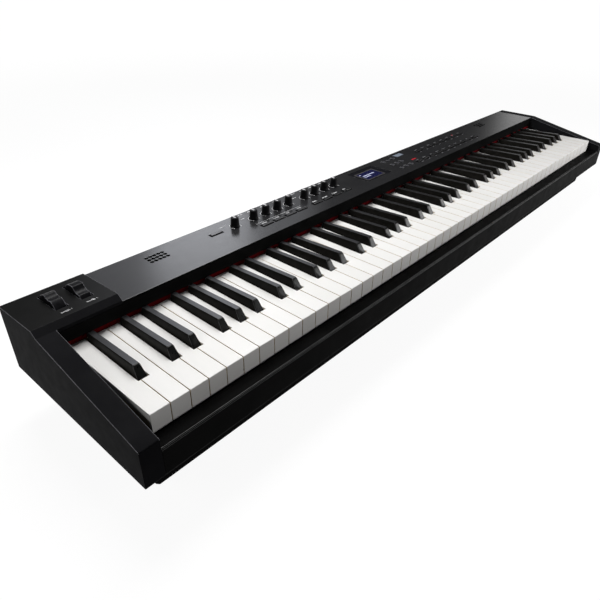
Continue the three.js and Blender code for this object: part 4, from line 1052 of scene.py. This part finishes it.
def knob_ring(bm, x, y):
    """A ring open at the front, with a tick at its middle and at each end."""
    inner, outer = RING_REACH
    rows = []
    for step in range(RING_STEPS + 1):
        angle = math.pi / 2 + RING_SWEEP * (step / RING_STEPS - 0.5)
        rows.append([bm.verts.new(turned_about(x, y, angle, reach, 0)) for reach in (outer, inner)])
    for row, after in zip(rows, rows[1:]):
        bm.faces.new([row[0], after[0], after[1], row[1]])
    for step in range(TICKS):
        angle = math.pi / 2 + RING_SWEEP * (step / (TICKS - 1) - 0.5)
        ends = [(TICK_REACH[0], -TICK_HALF), (TICK_REACH[1], -TICK_HALF),
                (TICK_REACH[1], TICK_HALF), (TICK_REACH[0], TICK_HALF)]
        bm.faces.new([bm.verts.new(turned_about(x, y, angle, *end)) for end in ends])


KNOB_WORDS = ["LOW", "MID", "HIGH", "GAIN", "REVERB", "CHORUS", "DELAY", "TONE"]
SELECT_WORDS = ["UPPER", "LOWER", "SPLIT", "LAYER", "PIANO", "ORGAN", "STRINGS", "PAD"]
VOICE_WORDS = ["PIANO", "E.PIANO", "CLAV", "ORGAN", "STRINGS", "CHOIR", "BRASS", "PAD", "BASS", "OTHER"]
FUNCTION_WORDS = ["SCENE", "ASSIGN", "EFFECT", "PITCH", "TEMPO", "RHYTHM", "RECORD", "PLAY"]
CURSOR_WORDS = ["EXIT", "DOWN", "ENTER", "LEFT", "MENU", "RIGHT", "SHIFT", "UP", "WRITE"]
REAR_WORDS = ["MASTER", "EQUALIZER", "EFFECTS", "LEVEL", "FREQUENCY", "TIME", "DEPTH", "CONTROL"]


def knob_print():
    bm = bmesh.new()
    for node, words in zip(KNOBS, ["VOLUME", *KNOB_WORDS]):
        middle = centre_of(node)
        knob_ring(bm, middle.x, middle.y)
        write(bm, words, middle.x - 9 * MM, middle.y + 9.5 * MM, SMALL_LETTER, PANEL_TOP, "RIGHT")
    for node, words in zip(KNOBS[1:], REAR_WORDS):
        write(bm, words, centre_of(node).x - 8 * MM, REAR - 6 * MM, REAR_LETTER, PANEL_TOP)
    for node, words in zip(SELECTS, SELECT_WORDS):
        middle = centre_of(node)
        write(bm, words, middle.x, middle.y + WORD_RISE, LETTER, PANEL_TOP)
    bracket = centre_of(SELECTS[0]).x - 12 * MM, centre_of(SELECTS[3]).x + 8 * MM
    level = centre_of(SELECTS[0]).y + 10.5 * MM
    stroke(bm, bracket, (level, level + LINE), PANEL_TOP)
    stroke(bm, (bracket[0], bracket[0] + LINE), (level - 3 * MM, level), PANEL_TOP)
    piece("knob_print", mesh_of(bm, "knob_print"), [WHITE_INK], CASE_BODY, "panel")


def button_print():
    bm = bmesh.new()
    rows = [*zip(VOICE_PLACES, VOICE_WORDS), *zip(FUNCTION_PLACES, FUNCTION_WORDS)]
    for (x, y), words in rows:
        write(bm, words, x, y + WORD_RISE, SMALL_LETTER, PANEL_TOP)
        write(bm, words, x, y - LOWER_WORD_DROP, SMALL_LETTER * 0.7, PANEL_TOP)
    for (x, y), words in zip(CURSOR_PLACES, CURSOR_WORDS):
        write(bm, words, x, y + CURSOR_WORD_RISE, SMALL_LETTER * 0.9, PANEL_TOP)
    middle = centre_of("power_button")
    write(bm, "O", middle.x - 6 * MM, middle.y + WORD_RISE, LETTER, PANEL_TOP)
    piece("button_print", mesh_of(bm, "button_print"), [GREY_INK], CASE_BODY, "panel")


def wheel_print():
    """Words on the deck's sloping top, in front of the wheels."""
    bm = bmesh.new()
    slope = (DECK_HIGH.z - deck_rear_top()) / (REAR - deck_ridge())
    for node, words in [("pitch_wheel", "WHEEL 1"), ("modulation_wheel", "WHEEL 2")]:
        middle = centre_of(node)
        write(bm, words, middle.x, middle.y - WHEEL_WORD_DROP, LETTER, 0)
    for vertex in bm.verts:
        vertex.co.z += DECK_HIGH.z - (vertex.co.y - deck_ridge()) * slope + HAIR
    piece("wheel_print", mesh_of(bm, "wheel_print"), [WHITE_INK], CASE_BODY, "panel")


def deck_ridge():
    """How far back the deck's highest line lies."""
    return max(
        (vertex.co.y for vertex in frame["nodes"]["left_end_block"].data.vertices
         if vertex.co.z > DECK_HIGH.z - WELD),
    )


def deck_rear_top():
    return max(
        vertex.co.z for vertex in frame["nodes"]["left_end_block"].data.vertices
        if vertex.co.y > REAR - WELD
    )


def pale_plate():
    """A pale printed block beside the small buttons, and the row's red lamps."""
    bm = bmesh.new()
    x, y = CURSOR_HIGH.x, CURSOR_HIGH.y
    stroke(bm, (x + 11 * MM, x + 34 * MM), (y - 2 * MM, y + 9 * MM), PANEL_TOP)
    piece("pale_block", mesh_of(bm, "pale_block"), [BLUE_INK], CASE_BODY, "panel")
    lamps = bmesh.new()
    x, y = VOICE_PLACES[0]
    stroke(lamps, (x - 8 * MM, x + 7 * MM), (y + 12 * MM, y + 15 * MM), PANEL_TOP)
    x, y = FUNCTION_PLACES[6]
    lathe(lamps, [(0, 0), (1.3 * MM, 0), (1.2 * MM, 0.3 * MM), (0.7 * MM, 0.6 * MM), (0, 0.7 * MM)], 20,
          Vector((x, y + 6 * MM, PANEL_TOP)))
    piece("red_lamps", mesh_of(lamps, "red_lamps"), [RED_LIGHT], CASE_BODY, "panel")


def inside():
    """Parts that show only through gaps keep their solids."""
    for node, finish in [
        ("key_frame", STEEL), ("wheel_bracket", STEEL), ("main_board", BOARD), ("display_module", KNOB),
        ("speaker_left", RAIL), ("speaker_right", RAIL),
    ]:
        slots = frame["nodes"][node].data.materials
        slots.clear()
        slots.append(finish)


end_blocks()
front_rail()
tray()
top_panel()
rear_panel()
jack_board()
socket_rings()
screws()
feet()
keys()
felt_strip()
for name in KNOBS:
    knob(name)
wide_buttons()
cursor_buttons()
display()
wheel("pitch_wheel", PITCH_LEAN)
wheel("modulation_wheel", MODULATION_LEAN)
knob_print()
button_print()
wheel_print()
pale_plate()
inside()


# Stage
FLOOR_REACH = 30
FLOOR_TONE = 0.12
FLOOR_NEAR = 0.93
NEAR_SPAN = (0.75, 3.0)


def backdrop_seen(add, join):
    """The kinds of ray, and 1 for those that see the backdrop straight on or through glass."""
    path = add("ShaderNodeLightPath")
    both = add("ShaderNodeMath", operation="MAXIMUM")
    join(path.outputs["Is Camera Ray"], both.inputs[0])
    join(path.outputs["Is Transmission Ray"], both.inputs[1])
    return path, both


def fade(add, join, value, span, ends):
    """A smooth way from one end to the other while the value crosses a span."""
    node = add("ShaderNodeMapRange", interpolation_type="SMOOTHSTEP")
    for socket, number in zip(["From Min", "From Max", "To Min", "To Max"], [*span, *ends]):
        node.inputs[socket].default_value = number
    join(value, node.inputs["Value"])
    return node.outputs["Result"]


def floor():
    """A pale floor, white to the eye, that keeps the object's shadow."""
    mesh = bpy.data.meshes.new("floor")
    corners = [(x * FLOOR_REACH, y * FLOOR_REACH, 0) for x, y in [(-1, -1), (1, -1), (1, 1), (-1, 1)]]
    mesh.from_pydata(corners, [], [(0, 1, 2, 3)])
    made = bpy.data.objects.new("floor", mesh)
    bpy.context.scene.collection.objects.link(made)
    tree = Tree("floor_paint")
    tree.set(Base_Color=(FLOOR_TONE, FLOOR_TONE, FLOOR_TONE, 1), Roughness=0.9, Specular_IOR_Level=0.0)
    path, seen = backdrop_seen(tree.add, tree.join)
    shown = tree.add("ShaderNodeMath", operation="MAXIMUM")
    tree.join(seen.outputs["Value"], shown.inputs[0])
    tree.join(path.outputs["Is Glossy Ray"], shown.inputs[1])
    away = tree.add("ShaderNodeVectorMath", operation="LENGTH")
    tree.join(tree.place, away.inputs[0])
    rise = fade(tree.add, tree.join, away.outputs["Value"], NEAR_SPAN, (FLOOR_NEAR, 1))
    white = tree.add("ShaderNodeEmission")
    tree.join(rise, white.inputs["Strength"])
    lit = tree.add("ShaderNodeAddShader")
    tree.join(tree.shader.outputs["BSDF"], lit.inputs[0])
    tree.join(white.outputs["Emission"], lit.inputs[1])
    blend = tree.add("ShaderNodeMixShader")
    tree.join(shown.outputs["Value"], blend.inputs["Fac"])
    tree.join(tree.shader.outputs["BSDF"], blend.inputs[1])
    tree.join(lit.outputs["Shader"], blend.inputs[2])
    tree.join(blend.outputs["Shader"], tree.nodes["Material Output"].inputs["Surface"])
    mesh.materials.append(tree.material)


AMBIENT = 0.04
DARK_ROOM = 0.03
WALL_EDGES = (math.radians(21.7), math.radians(5))
WALL_FADE = (-0.02, 0.02)
WALL_TOP = (math.sin(math.radians(17)), math.sin(math.radians(23)))


def world():
    """A white backdrop to the eye; mirrored, a dark room with one white wall; a low even light."""
    scene_world = bpy.data.worlds.new("studio")
    bpy.context.scene.world = scene_world
    scene_world.use_nodes = True
    nodes, links = scene_world.node_tree.nodes, scene_world.node_tree.links
    nodes.clear()

    def add(kind, **values):
        node = nodes.new(kind)
        for name, value in values.items():
            setattr(node, name, value)
        return node

    def light(strength):
        node = add("ShaderNodeBackground")
        node.inputs["Color"].default_value = (1, 1, 1, 1)
        node.inputs["Strength"].default_value = strength
        return node

    def mix(factor, first, second):
        node = add("ShaderNodeMixShader")
        links.new(factor, node.inputs["Fac"])
        links.new(first, node.inputs[1])
        links.new(second, node.inputs[2])
        return node.outputs["Shader"]

    direction = add("ShaderNodeTexCoord").outputs["Generated"]
    parts = add("ShaderNodeSeparateXYZ")
    links.new(direction, parts.inputs["Vector"])
    wall = fade(add, links.new, parts.outputs["Z"], WALL_TOP, (1, 0))
    for edge, turn in zip(WALL_EDGES, (1, -1)):
        beside = add("ShaderNodeVectorMath", operation="DOT_PRODUCT")
        beside.inputs[1].default_value = (turn * math.sin(edge), -turn * math.cos(edge), 0)
        links.new(direction, beside.inputs[0])
        both = add("ShaderNodeMath", operation="MULTIPLY")
        links.new(wall, both.inputs[0])
        within = fade(add, links.new, beside.outputs["Value"], WALL_FADE, (0, 1))
        links.new(within, both.inputs[1])
        wall = both.outputs["Value"]
    path, seen = backdrop_seen(add, links.new)
    white = light(1).outputs["Background"]
    room = mix(wall, light(DARK_ROOM).outputs["Background"], white)
    gloss = mix(path.outputs["Is Glossy Ray"], light(AMBIENT).outputs["Background"], room)
    whole = mix(seen.outputs["Value"], gloss, white)
    links.new(whole, add("ShaderNodeOutputWorld").inputs["Surface"])


def lamp(name, place, target, size, power, colour=(1, 1, 1)):
    light = bpy.data.lights.new(name, "AREA")
    light.shape = "RECTANGLE"
    light.size, light.size_y = size
    light.energy = power
    light.color = colour
    made = bpy.data.objects.new(name, light)
    made.location = place
    made.rotation_euler = (Vector(target) - Vector(place)).to_track_quat("-Z", "Y").to_euler()
    bpy.context.scene.collection.objects.link(made)
    return made


COOL = (0.92, 0.94, 1.0)
WARM = (1.0, 0.94, 0.91)


def lamps():
    lamp("overhead", (-0.17, 0.32, 0.95), (-0.2, -0.02, 0.1), (0.8, 0.5), 11.5)
    lamp("front_right", (0.85, -0.95, 0.36), (0.2, -0.1, 0.1), (0.8, 0.45), 9)
    lamp("front_strip", (1.05, -0.55, 0.43), (0.08, -0.03, 0.13), (0.36, 0.32), 1.2, WARM)
    lamp("left_fill", (-1.40, 0.02, 0.78), (-0.58, -0.1, 0.1), (0.5, 0.4), 2.0)
    lamp("rear_softbox", (0.43, 1.18, 0.80), (-0.35, 0.09, 0.145), (0.4, 0.45), 1.3, COOL)
    lamp("rear_halo", (0.53, 1.35, 0.90), (-0.35, 0.09, 0.145), (1.1, 0.85), 1.6, COOL)


# Camera
PICTURE = 600
CAMERA_PLACE = Vector((-0.790507, -0.44421, 0.47852))
CAMERA_BEARING = math.radians(41.41)
CAMERA_DIP = math.radians(32.72)
CAMERA_ROLL = math.radians(1.07)
FOCAL_PIXELS = 538.07
SENSOR_WIDTH = 36
NEAREST = 0.01


def camera():
    forward = Vector((
        math.cos(CAMERA_DIP) * math.cos(CAMERA_BEARING),
        math.cos(CAMERA_DIP) * math.sin(CAMERA_BEARING),
        -math.sin(CAMERA_DIP),
    ))
    level = forward.cross(Vector((0, 0, 1))).normalized()
    upright = level.cross(forward)
    right = level * math.cos(CAMERA_ROLL) + upright * math.sin(CAMERA_ROLL)
    up = upright * math.cos(CAMERA_ROLL) - level * math.sin(CAMERA_ROLL)
    data = bpy.data.cameras.new("camera")
    data.sensor_width = SENSOR_WIDTH
    data.lens = FOCAL_PIXELS / PICTURE * data.sensor_width
    data.clip_start = NEAREST
    made = bpy.data.objects.new("camera", data)
    turn = Matrix((right, up, -forward)).transposed().to_4x4()
    made.matrix_world = Matrix.Translation(CAMERA_PLACE) @ turn
    bpy.context.scene.collection.objects.link(made)
    bpy.context.scene.camera = made


floor()
world()
lamps()
camera()
bpy.context.scene.view_settings.view_transform = "Standard"
